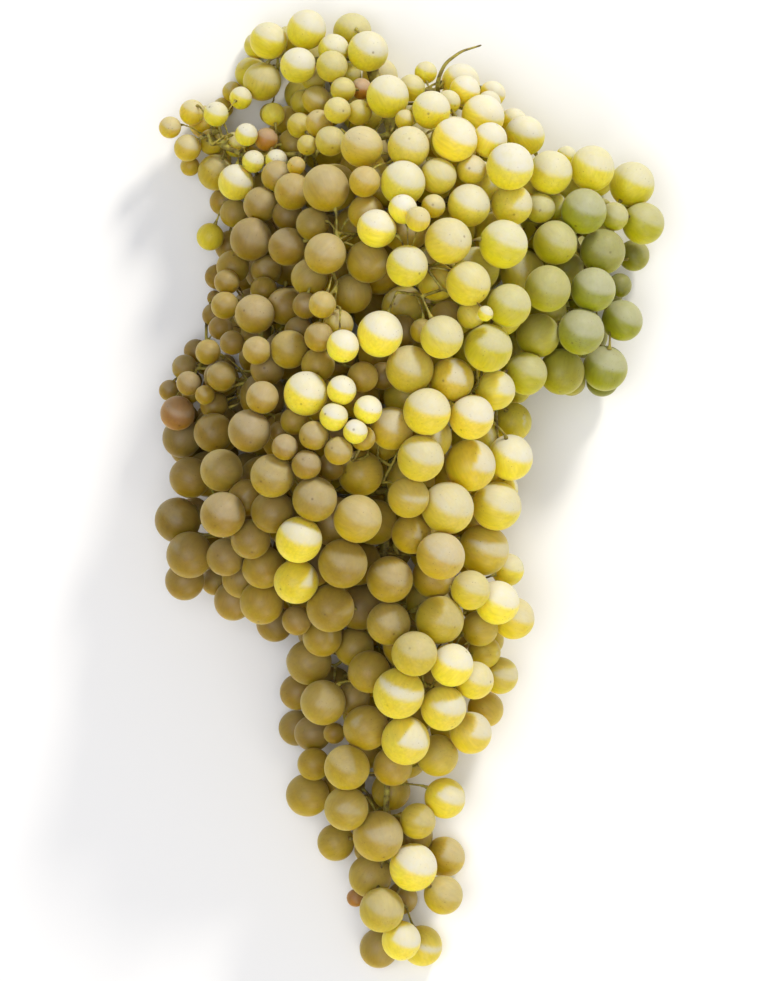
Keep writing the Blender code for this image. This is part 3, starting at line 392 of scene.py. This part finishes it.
def point_traits(i, around):
    """Ripeness, painted brightness, bloom with painted sunlight and the berry's own number at each
    point of a berry.
    """
    faced = unit(SUN_SIDE + SUN_SWAY * (axes[i] + chance[i, :3] - 0.5))
    facing = unit(around) @ faced
    rise = ((facing - PAINTED_SUN_COAT_FACING[0]) / (PAINTED_SUN_COAT_FACING[1] - PAINTED_SUN_COAT_FACING[0])).clip(0, 1)
    rise = rise * rise * (3 - 2 * rise)
    seen = sun_reach(i, centres[i] + around)
    shaded = 1 - (rise * seen).sum() / rise.sum()
    veil = np.interp(painted_brightness[i], DIM_AND_SUNNY, HAZE_AMOUNT) * (0.5 + chance[i, 2])
    haze = np.interp(facing, HAZE_FACING, [0.0, veil])
    painted_sun_coat = np.interp(painted_brightness[i], DIM_AND_SUNNY, PAINTED_SUN_COAT_AMOUNT) + PAINTED_SUN_COAT_SWAY * chance[i, 2]
    bloom_and_painted_sun = haze + (painted_sun_coat - haze) * rise * seen
    # Painted glow away from the sun, and painted shade in the neighbours' shadow.
    painted_glow = np.interp(facing, PAINTED_GLOW_FACING, PAINTED_GLOW_AMOUNT) * (1 - PAINTED_SHADE_TONE * shaded)
    painted_light = (painted_brightness[i] * painted_glow).clip(0, BRIGHTEST)
    if russet[i]:
        ripe = russet[i]
    else:
        ripe = (ripeness[i] + PAINTED_SHADE_BROWNING * shaded).clip(0, FULLY_RIPE)
    ones = np.ones(len(around))
    return np.stack([ripe * ones, painted_light, bloom_and_painted_sun, chance[i, 3] * ones], axis=1)


print("bloom on a sunny berry:", PAINTED_SUN_COAT_AMOUNT[1], "and on a shaded one:", PAINTED_SUN_COAT_AMOUNT[0])

# %% [markdown]
# ## The shape of a berry
#
# A berry starts as a fine ball, a touch longer than wide. Where two berries press on
# each other both give way, and a flat patch forms where their skins meet. To find it, a
# point's height towards the neighbour is kept under the height of the patch, with a
# rounded step so that no sharp rim shows. The table flattens the lowest berries in the
# same way. The scar is a shallow dimple at the end of the axis.

# %% The points of one berry
BALL_DETAIL = 4
LIP = 0.22 * MM              # how rounded the rim of a flat patch is
LIP_REACH = 6                # a rim is worked out this many lips below its patch
SKIN_GAP = 0.02 * MM
SCAR_RADIUS = 0.55 * MM
SCAR_DEPTH = 0.18 * MM
SHORTEST_STRETCH = 0.99      # a berry's length along its axis, over its width,
STRETCH_RANGE = 0.05         # and how much longer it may be
UNEVEN = 0.006               # how far the skin waves in and out, as a share of the radius
WAVE_COUNT = 3
WAVE_RATE = 2.3
WAVE_SHIFT = 6.28
WAVE_SEED = 1000
TOUCH_REACH = 1.02           # berries this close, over touching, press on each other
NEARLY_UPRIGHT = 0.9


def fine_ball():
    """Directions and faces of a finely divided ball."""
    ball = bmesh.new()
    bmesh.ops.create_icosphere(ball, subdivisions=BALL_DETAIL, radius=1.0)
    directions = np.array([corner.co[:] for corner in ball.verts])
    faces = np.array([[corner.index for corner in face.verts] for face in ball.faces])
    ball.free()
    return unit(directions), faces


def soft_limit(height, limit):
    """The height where it is well under the limit, and the limit where it is over it."""
    return -LIP * np.logaddexp(-height / LIP, -limit / LIP)


def turned_frame(axis):
    """Three unit vectors, the last along the axis."""
    helper = [0.0, 0.0, 1.0] if abs(axis[2]) < NEARLY_UPRIGHT else [1.0, 0.0, 0.0]
    side = unit(np.cross(axis, helper))
    return np.stack([side, np.cross(axis, side), axis])


def berry_points(i, directions, touching):
    """The points of one berry around its middle, and the same in its own frame in mm."""
    radius = radii[i]
    own_frame = turned_frame(axes[i])
    stretch = np.array([1.0, 1.0, SHORTEST_STRETCH + STRETCH_RANGE * chance[i, 0]])
    waves = np.zeros(len(directions))
    for k in range(1, WAVE_COUNT + 1):
        way = unit(np.random.default_rng(WAVE_SEED * k + i).normal(size=3))
        waves += np.sin(directions @ way * WAVE_RATE * k + WAVE_SHIFT * chance[i, 1]) / k
    own = directions * stretch * (radius * (1 + UNEVEN * waves))[:, None]
    aside = np.linalg.norm(own[:, :2], axis=1)
    dimple = SCAR_DEPTH * np.exp(-(aside / SCAR_RADIUS) ** 2) * (own[:, 2] > 0)
    own[:, 2] -= dimple
    points = own @ own_frame
    for j in touching:
        away = centres[j] - centres[i]
        distance = np.linalg.norm(away)
        away /= distance
        patch = (distance ** 2 + radius ** 2 - radii[j] ** 2) / (2 * distance) - SKIN_GAP
        height = points @ away
        near = height > patch - LIP_REACH * LIP
        points[near] += np.outer(soft_limit(height[near], patch) - height[near], away)
    if centres[i, 2] < radius + LIP:
        points[:, 2] = -soft_limit(-points[:, 2], centres[i, 2])
    return points, own / MM


directions, ball_faces = fine_ball()
touches = [np.where(spacing[i] < TOUCH_REACH * (radii[i] + radii))[0] for i in range(count)]
print("points on a berry:", len(directions), "touching pairs:", sum(map(len, touches)) // 2)

# %% [markdown]
# ## One mesh for each spray
#
# All berries of a spray go into one mesh, because they belong to one piece of the
# frame. Its points carry two layers of their own: the place on the berry in
# millimetres, which lets the skin's pattern turn with the berry, and the traits.


# %% Build a spray
def fine_spray(name):
    """One spray of fine berries, with each point's place on its berry and its berry's traits."""
    points = []
    own = []
    faces = []
    traits = []
    for number, i in enumerate(spray_members[name]):
        around, local = berry_points(i, directions, touches[i])
        points.append(centres[i] + around)
        own.append(local)
        faces.append(ball_faces + number * len(directions))
        traits.append(point_traits(i, around))
    points = np.concatenate(points)
    mesh = bpy.data.meshes.new(name + "_berries")
    mesh.from_pydata(points, [], np.concatenate(faces))
    mesh.attributes.new("skin_mm", "FLOAT_VECTOR", "POINT").data.foreach_set(
        "vector", np.concatenate(own).astype(np.float32).ravel())
    mesh.attributes.new("traits", "FLOAT_COLOR", "POINT").data.foreach_set(
        "color", np.concatenate(traits).astype(np.float32).ravel())
    mesh.shade_smooth()
    spray = bpy.data.objects.new(name + "_berries", mesh)
    bpy.context.scene.collection.objects.link(spray)
    return spray


# %% [markdown]
# ## Grape skin
#
# A white grape's skin is thin and clear, and the flesh under it is cloudy, so light
# that enters on one side spreads and leaves on the other as a deep yellow glow. That is
# subsurface scattering, and red and green light travel much further than blue. On top
# lies the bloom, a film of pale wax crystals that scatters light before it enters and
# hides the gloss. Its thick cream on the lit side is painted sunlight, and it stays thin
# where a neighbour's painted shadow falls. Brown freckles, faint veins from end to end
# and the dark scar finish the skin.

# %% The flesh's colour
# From unripe over golden to amber; the last one is the russet of a drying berry.
FLESH_COLOURS = (
    (0.0, "#869410"), (0.35, "#cfc814"), (0.6, "#e9d83e"), (0.78, "#dabd20"), (0.92, "#bfa01c"),
    (1.0, "#c89428"))


def colour_by(tree, factor, stops):
    """A colour that runs through the stops, each (position, hex colour), as the factor grows."""
    node = add_node(tree, "ShaderNodeValToRGB", inputs={"Fac": factor})
    elements = node.color_ramp.elements
    while len(elements) < len(stops):
        elements.new(0.5)
    for element, (position, colour) in zip(elements, stops):
        element.position = position
        element.color = linear(colour)
    return node.outputs["Color"]


print("colours from unripe to russet:", len(FLESH_COLOURS))

# %% [markdown]
# ## Freckles and the scar
#
# The skin breathes through pores, and many of them turn brown. A Voronoi pattern
# scatters points much as pores lie, so a dot at each point makes a freckle, and a cloudy
# noise says where freckles are common. The scar is a small dark disc round the end of
# the axis, stronger on some berries than on others.

# %% Marks on the skin
FRECKLE_SPACING = 1.5        # mm between the pores of the skin
FRECKLE_SIZE = 0.16          # mm, drawn a little coarser than a real pore so that it shows
FRECKLE_STRENGTH = 0.5
SCAR_CORE = 0.22             # mm, dark all over
SCAR_RIM = 0.55              # mm, where the dark has faded out
SCAR_STRENGTH = 0.55


def freckle_marks(tree, moved, mottle):
    """How dark a freckle is at each point: zero between the freckles."""
    pores = add_node(tree, "ShaderNodeTexVoronoi", {"feature": "F1"}, {
        "Vector": moved, "Scale": 1 / FRECKLE_SPACING, "Randomness": 1.0})
    pore_edge = add_node(tree, "ShaderNodeMapRange", inputs={
        "Value": pores.outputs["Distance"], "From Min": FRECKLE_SIZE / FRECKLE_SPACING * 0.6,
        "From Max": FRECKLE_SIZE / FRECKLE_SPACING * 1.5, "To Min": 1.0, "To Max": 0.0})
    common = add_node(tree, "ShaderNodeMapRange", inputs={
        "Value": mottle, "From Min": 0.42, "From Max": 0.60, "To Min": 0.0,
        "To Max": FRECKLE_STRENGTH})
    return add_node(tree, "ShaderNodeMath", {"operation": "MULTIPLY"}, {
        0: pore_edge.outputs["Result"], 1: common.outputs["Result"]}).outputs[0]


def scar_mark(tree, place, own_number):
    """How dark the style's scar is at each point: a disc round the axis' far end."""
    parts = add_node(tree, "ShaderNodeSeparateXYZ", inputs={"Vector": place})
    flat_place = add_node(tree, "ShaderNodeCombineXYZ", inputs={
        "X": parts.outputs["X"], "Y": parts.outputs["Y"]}).outputs[0]
    from_axis = add_node(tree, "ShaderNodeVectorMath", {"operation": "LENGTH"}, {0: flat_place})
    far_end = add_node(tree, "ShaderNodeMath", {"operation": "GREATER_THAN"}, {
        0: parts.outputs["Z"], 1: 0.0})
    disc = add_node(tree, "ShaderNodeMapRange", inputs={
        "Value": from_axis.outputs["Value"], "From Min": SCAR_CORE, "From Max": SCAR_RIM,
        "To Min": 1.0, "To Max": 0.0})
    strength = add_node(tree, "ShaderNodeMapRange", inputs={
        "Value": own_number, "From Min": 0.3, "From Max": 0.9, "To Min": 0.0,
        "To Max": SCAR_STRENGTH})
    strength_ahead = add_node(tree, "ShaderNodeMath", {"operation": "MULTIPLY"}, {
        0: strength.outputs["Result"], 1: far_end.outputs[0]})
    return add_node(tree, "ShaderNodeMath", {"operation": "MULTIPLY"}, {
        0: disc.outputs["Result"], 1: strength_ahead.outputs[0]}).outputs[0]


print("freckle:", FRECKLE_SIZE, "mm, scar:", 2 * SCAR_RIM, "mm across")

# %% [markdown]
# ## The wax film
#
# Clean bloom is a cool cream, painted darker or lighter with the berry's painted
# brightness. Where it is thin, as on berries painted in shade, the flesh's own colour
# comes through, so there the wax is mixed with it. Freckles and the scar show through
# the wax, a little paler. The film is never quite even: rain and rubbing leave it patchy.

# %% Colour and share of the wax
# The cream also stands for painted sunlight where the coat is thick.
BLOOM_CREAM = "#d8d5c9"
MARK_BROWN = "#4a3312"
WAXED_MARK_BROWN = "#6b5326"


def wax_colour(tree, painted_light, flesh, marks):
    """The bloom's colour: cream in the painted light on sunny berries, stained by the flesh on ones
    painted dim.
    """
    cream_in_painted_light = add_node(tree, "ShaderNodeVectorMath", {"operation": "SCALE"}, {
        0: linear(BLOOM_CREAM)[:3], "Scale": painted_light})
    thinness = add_node(tree, "ShaderNodeMapRange", inputs={
        "Value": painted_light, "From Min": 0.5, "From Max": 0.95, "To Min": 0.48, "To Max": 0.05})
    stained = add_node(tree, "ShaderNodeMix", {"data_type": "RGBA"}, {
        "Factor": thinness.outputs["Result"], 6: cream_in_painted_light.outputs[0], 7: flesh})
    return add_node(tree, "ShaderNodeMix", {"data_type": "RGBA"}, {
        "Factor": marks, 6: stained.outputs[2], 7: linear(WAXED_MARK_BROWN)}).outputs[2]


def wax_share(tree, wax_and_painted_sun, mottle):
    """How much of the skin the wax and its painted sunlight hide at each point."""
    patches = add_node(tree, "ShaderNodeMapRange", inputs={
        "Value": mottle, "From Min": 0.32, "From Max": 0.62, "To Min": 0.74, "To Max": 1.0})
    return add_node(tree, "ShaderNodeMath", {"operation": "MULTIPLY"}, {
        0: wax_and_painted_sun, 1: patches.outputs["Result"]}).outputs[0]


print("clean bloom in linear light:", [round(channel, 2) for channel in linear(BLOOM_CREAM)[:3]])

# %% [markdown]
# ## The whole skin
#
# Two shaders are mixed by the share of wax and painted sunlight. Under it is the clear
# skin: cloudy flesh that light spreads through, painted darker or lighter with the
# painted brightness, with a soft gloss. Over it is the film: dry, dull and opaque. A
# gentle bump gives the veins and freckles a surface that the lamps can catch.

# %% Grape skin material
BLOOM_PATCH = 5.0            # mm, how far the wax stays even
VEINS_PER_MM = 1.1
VEIN_STRETCH = 0.12          # veins run from end to end, so they are stretched that way
NUMBER_SHIFT = 61.0          # moves the pattern, so that no two berries look the same
SCATTER_DEPTH = 9.0 * MM     # how far red light travels in the flesh
SCATTER_COLOUR = (1.0, 0.78, 0.16)


def grape_skin():
    """Ripe grape skin with wax bloom, painted light and shade. To the eye: a deep glow under a soft,
    creamy film.
    """
    material, output = new_material("waxy_grape_skin")
    tree = material.node_tree
    place = add_node(tree, "ShaderNodeAttribute", {"attribute_name": "skin_mm"}).outputs["Vector"]
    traits = add_node(tree, "ShaderNodeAttribute", {"attribute_name": "traits"})
    split = add_node(tree, "ShaderNodeSeparateColor", inputs={"Color": traits.outputs["Color"]})
    ripe, painted_light, wax_and_painted_sun = (split.outputs[k] for k in range(3))
    own_number = traits.outputs["Alpha"]
    shift = add_node(tree, "ShaderNodeMath", {"operation": "MULTIPLY"}, {
        0: own_number, 1: NUMBER_SHIFT}).outputs[0]
    moved = add_node(tree, "ShaderNodeVectorMath", {"operation": "ADD"}, {
        0: place, 1: shift}).outputs[0]
    mottle = add_node(tree, "ShaderNodeTexNoise", inputs={
        "Vector": moved, "Scale": 1 / BLOOM_PATCH, "Detail": 7.0, "Roughness": 0.72}).outputs["Fac"]
    stretched = add_node(tree, "ShaderNodeVectorMath", {"operation": "MULTIPLY"}, {
        0: moved, 1: (1.0, 1.0, VEIN_STRETCH)}).outputs[0]
    veins = add_node(tree, "ShaderNodeTexNoise", inputs={
        "Vector": stretched, "Scale": VEINS_PER_MM, "Detail": 3.0, "Roughness": 0.55}).outputs["Fac"]

    # The flesh, painted darker or lighter by the painted light and shade, then its veins, then the
    # marks.
    flesh_in_painted_light = add_node(tree, "ShaderNodeVectorMath", {"operation": "SCALE"}, {
        0: colour_by(tree, ripe, FLESH_COLOURS), "Scale": painted_light}).outputs[0]
    vein_tone = add_node(tree, "ShaderNodeMapRange", inputs={
        "Value": veins, "From Min": 0.35, "From Max": 0.65, "To Min": 0.91, "To Max": 1.04})
    veined = add_node(tree, "ShaderNodeVectorMath", {"operation": "SCALE"}, {
        0: flesh_in_painted_light, "Scale": vein_tone.outputs["Result"]}).outputs[0]
    freckles = freckle_marks(tree, moved, mottle)
    marks = add_node(tree, "ShaderNodeMath", {"operation": "MAXIMUM"}, {
        0: scar_mark(tree, place, own_number), 1: freckles}).outputs[0]
    skin_colour = add_node(tree, "ShaderNodeMix", {"data_type": "RGBA"}, {
        "Factor": marks, 6: veined, 7: linear(MARK_BROWN)}).outputs[2]

    bump_height = add_node(tree, "ShaderNodeMath", {"operation": "SUBTRACT"}, {
        0: veins, 1: freckles}).outputs[0]
    bump = add_node(tree, "ShaderNodeBump", inputs={
        "Strength": 0.12, "Distance": 0.15 * MM, "Height": bump_height}).outputs["Normal"]
    share = wax_share(tree, wax_and_painted_sun, mottle)
    rough = add_node(tree, "ShaderNodeMapRange", inputs={
        "Value": share, "From Min": 0.2, "From Max": 0.85, "To Min": 0.40, "To Max": 0.56})
    # Water has an IOR of 1.33 and sweet sap more, so 1.38 here. Waxes have about 1.45.
    clear_skin = add_node(tree, "ShaderNodeBsdfPrincipled", inputs={
        "Base Color": skin_colour, "Roughness": rough.outputs["Result"], "IOR": 1.38,
        "Normal": bump, "Subsurface Weight": 1.0, "Subsurface Scale": SCATTER_DEPTH,
        "Subsurface Radius": SCATTER_COLOUR, "Subsurface Anisotropy": 0.7,
        "Sheen Weight": 0.20, "Sheen Roughness": 0.35, "Sheen Tint": linear("#f3e8b8")})
    film = add_node(tree, "ShaderNodeBsdfPrincipled", inputs={
        "Base Color": wax_colour(tree, painted_light, veined, marks), "Roughness": 0.62, "IOR": 1.45,
        "Normal": bump})
    mixed = add_node(tree, "ShaderNodeMixShader", inputs={
        0: share, 1: clear_skin.outputs[0], 2: film.outputs[0]})
    tree.links.new(mixed.outputs[0], output.inputs["Surface"])
    return material


skin = grape_skin()
for name in spray_names:
    spray = fine_spray(name)
    spray.data.materials.append(skin)
    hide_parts(name)
    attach(spray, ROOT)
print("skin points:", count * len(directions))

# %% [markdown]
# ## The stalk
#
# The stalk is one grown piece: a main axis, side branches, and a thin pedicel to every
# berry that swells where it meets the fruit. The frame holds the main parts as plain
# tubes. Here a curved pedicel is added for each berry, and a remesh then melts
# everything into one skin with soft forks, as growth does.

# %% Tubes and curves
PEDICEL_WIDTH = 0.95 * MM
PEDICEL_LENGTH = 6.0 * MM
COLLAR_WIDTH = 2.0 * MM      # where the pedicel meets the berry
TUBE_SIDES = 6


def tube(mesh_data, route, widths):
    """A closed tube along a route into a bmesh."""
    rings = []
    for k, point in enumerate(route):
        ahead = unit(route[min(k + 1, len(route) - 1)] - route[max(k - 1, 0)])
        across = turned_frame(ahead)
        ring = []
        for step in range(TUBE_SIDES):
            angle = 2 * math.pi * step / TUBE_SIDES
            offset = (across[0] * math.cos(angle) + across[1] * math.sin(angle)) * widths[k] / 2
            ring.append(mesh_data.verts.new(point + offset))
        rings.append(ring)
    for ring, following in zip(rings, rings[1:]):
        for step in range(TUBE_SIDES):
            after = (step + 1) % TUBE_SIDES
            mesh_data.faces.new((ring[step], ring[after], following[after], following[step]))
    mesh_data.faces.new(list(reversed(rings[0])))
    mesh_data.faces.new(rings[-1])


def bezier(start, bend_one, bend_two, end, steps):
    """Points on a smooth curve between two ends."""
    t = np.linspace(0, 1, steps)[:, None]
    return ((1 - t) ** 3 * start + 3 * (1 - t) ** 2 * t * bend_one
            + 3 * (1 - t) * t ** 2 * bend_two + t ** 3 * end)


print("pedicel:", PEDICEL_WIDTH / MM, "mm thick,", PEDICEL_LENGTH / MM, "mm long")

# %% [markdown]
# ## Which twig grows from which
#
# Every pedicel has a root a little way towards the stalk. A bunch branches like a
# river: the root nearest to the stalk joins it first, and each next one joins whatever
# already reaches the stalk and lies closest. That gives forks where a real bunch has
# them, without drawing one.

# %% Roots of the pedicels and how they join
PEDICEL_BITE = 0.3 * MM      # how deep the pedicel's end sits in its berry
LOWEST_ROOT = 2 * MM         # over the table


def pedicel_ends():
    """For each berry, where its pedicel leaves it and where the pedicel's root is."""
    leave = centres - axes * (radii - PEDICEL_BITE)[:, None]
    along_axis = axes * (PEDICEL_LENGTH / 3)
    root = centres - along_axis - outward * (radii + PEDICEL_LENGTH)[:, None]
    root[:, 2] = np.maximum(root[:, 2], LOWEST_ROOT)
    return leave, root


def stem_tree(roots):
    """Join every pedicel root to the nearest one that already reaches the stalk."""
    reached = []
    left = list(range(len(roots)))
    gap = np.array([np.linalg.norm(stalk_corners - root, axis=1).min() for root in roots])
    link = {k: None for k in left}
    while left:
        k = min(left, key=lambda number: gap[number])
        left.remove(k)
        reached.append((k, link[k]))
        for other in left:
            distance = np.linalg.norm(roots[other] - roots[k])
            if distance < gap[other]:
                gap[other] = distance
                link[other] = k
    return reached


leave, roots = pedicel_ends()
joins = stem_tree(roots)
print("roots that meet the stalk itself:", sum(parent is None for _, parent in joins))

# %% [markdown]
# ## Grow the stalk
#
# Each pedicel is a short curve that leaves its berry along the axis and bends to its
# root, wide at the berry and a little wider again at the root. Small berries have thin
# pedicels. All tubes overlap the stalk, and the remesh melts them together.

# %% Build the stalk
FULL_BERRY_RADIUS = 6.5 * MM   # from here up a pedicel has its full width
PEDICEL_STEPS = 5
PEDICEL_WIDTHS = np.array([
    COLLAR_WIDTH, PEDICEL_WIDTH * 1.15, PEDICEL_WIDTH, PEDICEL_WIDTH, PEDICEL_WIDTH * 1.2])
STRAIGHT_START = 0.4           # this share of the pedicel runs straight out of the berry
TWIG_WIDTH = PEDICEL_WIDTH * 1.3
TWIG_STEPS = 4
SHORTEST_TWIG = 0.5 * MM
VOXEL = 0.42 * MM
growth = bmesh.new()
growth.from_mesh(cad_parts["stalk"].data)
for i in range(count):
    bend = leave[i] - axes[i] * PEDICEL_LENGTH * STRAIGHT_START
    route = bezier(leave[i], bend, (bend + roots[i]) / 2, roots[i], PEDICEL_STEPS)
    tube(growth, route, PEDICEL_WIDTHS * min(1.0, radii[i] / FULL_BERRY_RADIUS) ** 0.5)
for k, parent in joins:
    if parent is None:
        target = stalk_corners[np.argmin(np.linalg.norm(stalk_corners - roots[k], axis=1))]
    else:
        target = roots[parent]
    if np.linalg.norm(target - roots[k]) > SHORTEST_TWIG:
        route = np.linspace(roots[k], target, TWIG_STEPS)
        tube(growth, route, np.full(TWIG_STEPS, TWIG_WIDTH))
stalk_mesh = bpy.data.meshes.new("grown_stalk")
growth.to_mesh(stalk_mesh)
growth.free()
stalk = bpy.data.objects.new("grown_stalk", stalk_mesh)
bpy.context.scene.collection.objects.link(stalk)


def apply_modifiers(thing):
    """Replace an object's mesh with what its modifiers make of it."""
    depsgraph = bpy.context.evaluated_depsgraph_get()
    mesh = bpy.data.meshes.new_from_object(thing.evaluated_get(depsgraph))
    thing.modifiers.clear()
    thing.data = mesh


melt = stalk.modifiers.new("melt", "REMESH")
melt.mode = "VOXEL"
melt.voxel_size = VOXEL
melt.use_smooth_shade = True
apply_modifiers(stalk)
print("stalk faces:", len(stalk.data.polygons))

# %% [markdown]
# ## The tendril
#
# A tendril is a thin, tough shoot that the vine climbs with. It leaves the stalk's
# side, arcs up and tapers to a fine hook. The frame's tube has the right route, so a
# subdivision surface is all it takes to make it round.

# %% Build the tendril
TENDRIL_WELD = 0.01 * MM
ROUNDING_LEVELS = 2
tendril = bpy.data.objects.new("curled_tendril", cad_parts["tendril"].data.copy())
bpy.context.scene.collection.objects.link(tendril)
weld = bmesh.new()
weld.from_mesh(tendril.data)
bmesh.ops.remove_doubles(weld, verts=weld.verts, dist=TENDRIL_WELD)
weld.to_mesh(tendril.data)
weld.free()
rounding = tendril.modifiers.new("rounding", "SUBSURF")
rounding.levels = ROUNDING_LEVELS
rounding.render_levels = ROUNDING_LEVELS
apply_modifiers(tendril)
tendril.data.shade_smooth()
print("tendril faces:", len(tendril.data.polygons))

# %% [markdown]
# ## Stalk bark
#
# The stalk of a ripe bunch is half woody: yellow-green skin that browns in patches,
# dry and dull, with fine ridges along it.

# %% Bark material
BARK_PATCH = 3.0             # mm, the size of a brown patch
RIDGE_WIDTH = 0.35           # mm between ridges
BARK_COLOURS = ((0.38, "#584818"), (0.62, "#a89d3e"))


def stalk_bark():
    """Half-woody grape stalk. To the eye: dull yellow-green with brown patches."""
    material, output = new_material("half_woody_grape_stalk")
    tree = material.node_tree
    place = add_node(tree, "ShaderNodeTexCoord").outputs["Object"]
    patches = add_node(tree, "ShaderNodeTexNoise", inputs={
        "Vector": place, "Scale": 1 / (BARK_PATCH * MM), "Detail": 5.0, "Roughness": 0.65})
    fine = add_node(tree, "ShaderNodeTexNoise", inputs={
        "Vector": place, "Scale": 1 / (RIDGE_WIDTH * MM), "Detail": 2.0})
    bump = add_node(tree, "ShaderNodeBump", inputs={
        "Strength": 0.3, "Distance": 0.1 * MM, "Height": fine.outputs["Fac"]})
    shader = add_node(tree, "ShaderNodeBsdfPrincipled", inputs={
        "Base Color": colour_by(tree, patches.outputs["Fac"], BARK_COLOURS), "Roughness": 0.6,
        "IOR": 1.45, "Normal": bump.outputs["Normal"], "Subsurface Weight": 0.2,
        "Subsurface Scale": 0.8 * MM})
    tree.links.new(shader.outputs[0], output.inputs["Surface"])
    return material


bark = stalk_bark()
for piece, node in ((stalk, "stalk"), (tendril, "tendril")):
    piece.data.materials.clear()
    piece.data.materials.append(bark)
    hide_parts(node)
    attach(piece, ROOT)
print("pieces with bark:", stalk.name, "and", tendril.name)

# %% [markdown]
# ## Floor
#
# The bunch lies on a sheet of matt white paper, far larger than itself. The sheet is a
# hair under the lowest berries, because two surfaces at one height would flicker into
# each other.

# %% Floor
FLOOR_SIZE = 6.0
FLOOR_DROP = 0.05 * MM
floor_mesh = bmesh.new()
bmesh.ops.create_grid(floor_mesh, x_segments=1, y_segments=1, size=FLOOR_SIZE / 2)
floor_data = bpy.data.meshes.new("pale_floor")
floor_mesh.to_mesh(floor_data)
floor_mesh.free()
floor = bpy.data.objects.new("pale_floor", floor_data)
bpy.context.scene.collection.objects.link(floor)
floor.location.z = box_low[2] - FLOOR_DROP
paper, paper_output = new_material("matt_white_paper")
paper_shader = add_node(paper.node_tree, "ShaderNodeBsdfPrincipled", inputs={
    "Base Color": linear("#f2f1ee"), "Roughness": 0.9})
paper.node_tree.links.new(paper_shader.outputs[0], paper_output.inputs["Surface"])
floor.data.materials.append(paper)
print("floor:", FLOOR_SIZE, "m wide")

# %% [markdown]
# ## Light
#
# Soft studio light, from three round lamps and a pale sky. The key lamp stands low
# beyond the bunch's head, on the side that the bloom faces, and gives the soft shadow.
# A wide lamp overhead fills the front, and a third one low beyond the tail lights the
# sides of the berries that face the tail. The sky lifts what no lamp reaches.

# %% Lamps and sky
# Each lamp: the way to it from the bunch, then metres off, metres across, watts, colour.
LAMPS = {
    "key_lamp": ((0.40, 0.80, 0.44), 2.4, 0.45, 42.0, "#fffaf0"),
    "fill_lamp": ((-0.20, -0.10, 0.97), 2.0, 1.6, 23.0, "#f6f8ff"),
    "low_lamp": ((0.30, -0.84, 0.45), 2.2, 1.2, 16.0, "#fff8ea"),
}
SKY_STRENGTH = 0.42


def lamp(name, way, distance, size, power, colour):
    """A round lamp that shines at the bunch's middle from some way off."""
    way = Vector(way).normalized()
    data = bpy.data.lights.new(name, "AREA")
    data.shape = "DISK"
    data.size = size
    data.energy = power
    data.color = linear(colour)[:3]
    thing = bpy.data.objects.new(name, data)
    bpy.context.scene.collection.objects.link(thing)
    thing.location = Vector(middle) + way * distance
    thing.rotation_euler = way.to_track_quat("Z", "Y").to_euler()


for lamp_name, values in LAMPS.items():
    lamp(lamp_name, *values)
sky = bpy.data.worlds.new("soft_sky")
sky.use_nodes = True
background = sky.node_tree.nodes["Background"]
background.inputs["Color"].default_value = linear("#f4f6ff")
background.inputs["Strength"].default_value = SKY_STRENGTH
bpy.context.scene.world = sky
bpy.context.scene.view_settings.view_transform = "Standard"
print("lamps:", len(LAMPS), "with", sum(values[3] for values in LAMPS.values()), "watts together")

# %% [markdown]
# ## Camera
#
# The camera looks straight down on the bunch from well above, through a long lens, so
# that nothing is distorted. The lens follows from the height of the picture at the
# middle of the bunch: the sensor's height and the picture's height are to each other as
# the lens and the distance.

# %% Camera
VIEW_HEIGHT = 322 * MM       # how much of the bunch's length the picture takes in
VIEW_SHIFT = -10 * MM        # the bunch lies a little right of the picture's middle
CAMERA_HEIGHT = 1.8
SENSOR = 24.0                # mm
FARTHEST_SEEN = 20.0
camera_data = bpy.data.cameras.new("camera")
camera_data.sensor_fit = "VERTICAL"
camera_data.sensor_height = SENSOR
camera_data.lens = SENSOR * (CAMERA_HEIGHT - middle[2]) / VIEW_HEIGHT
camera_data.clip_end = FARTHEST_SEEN
camera = bpy.data.objects.new("camera", camera_data)
bpy.context.scene.collection.objects.link(camera)
camera.location = (middle[0] + VIEW_SHIFT, middle[1], CAMERA_HEIGHT)
bpy.context.scene.camera = camera
print("lens:", round(camera_data.lens, 1), "mm")
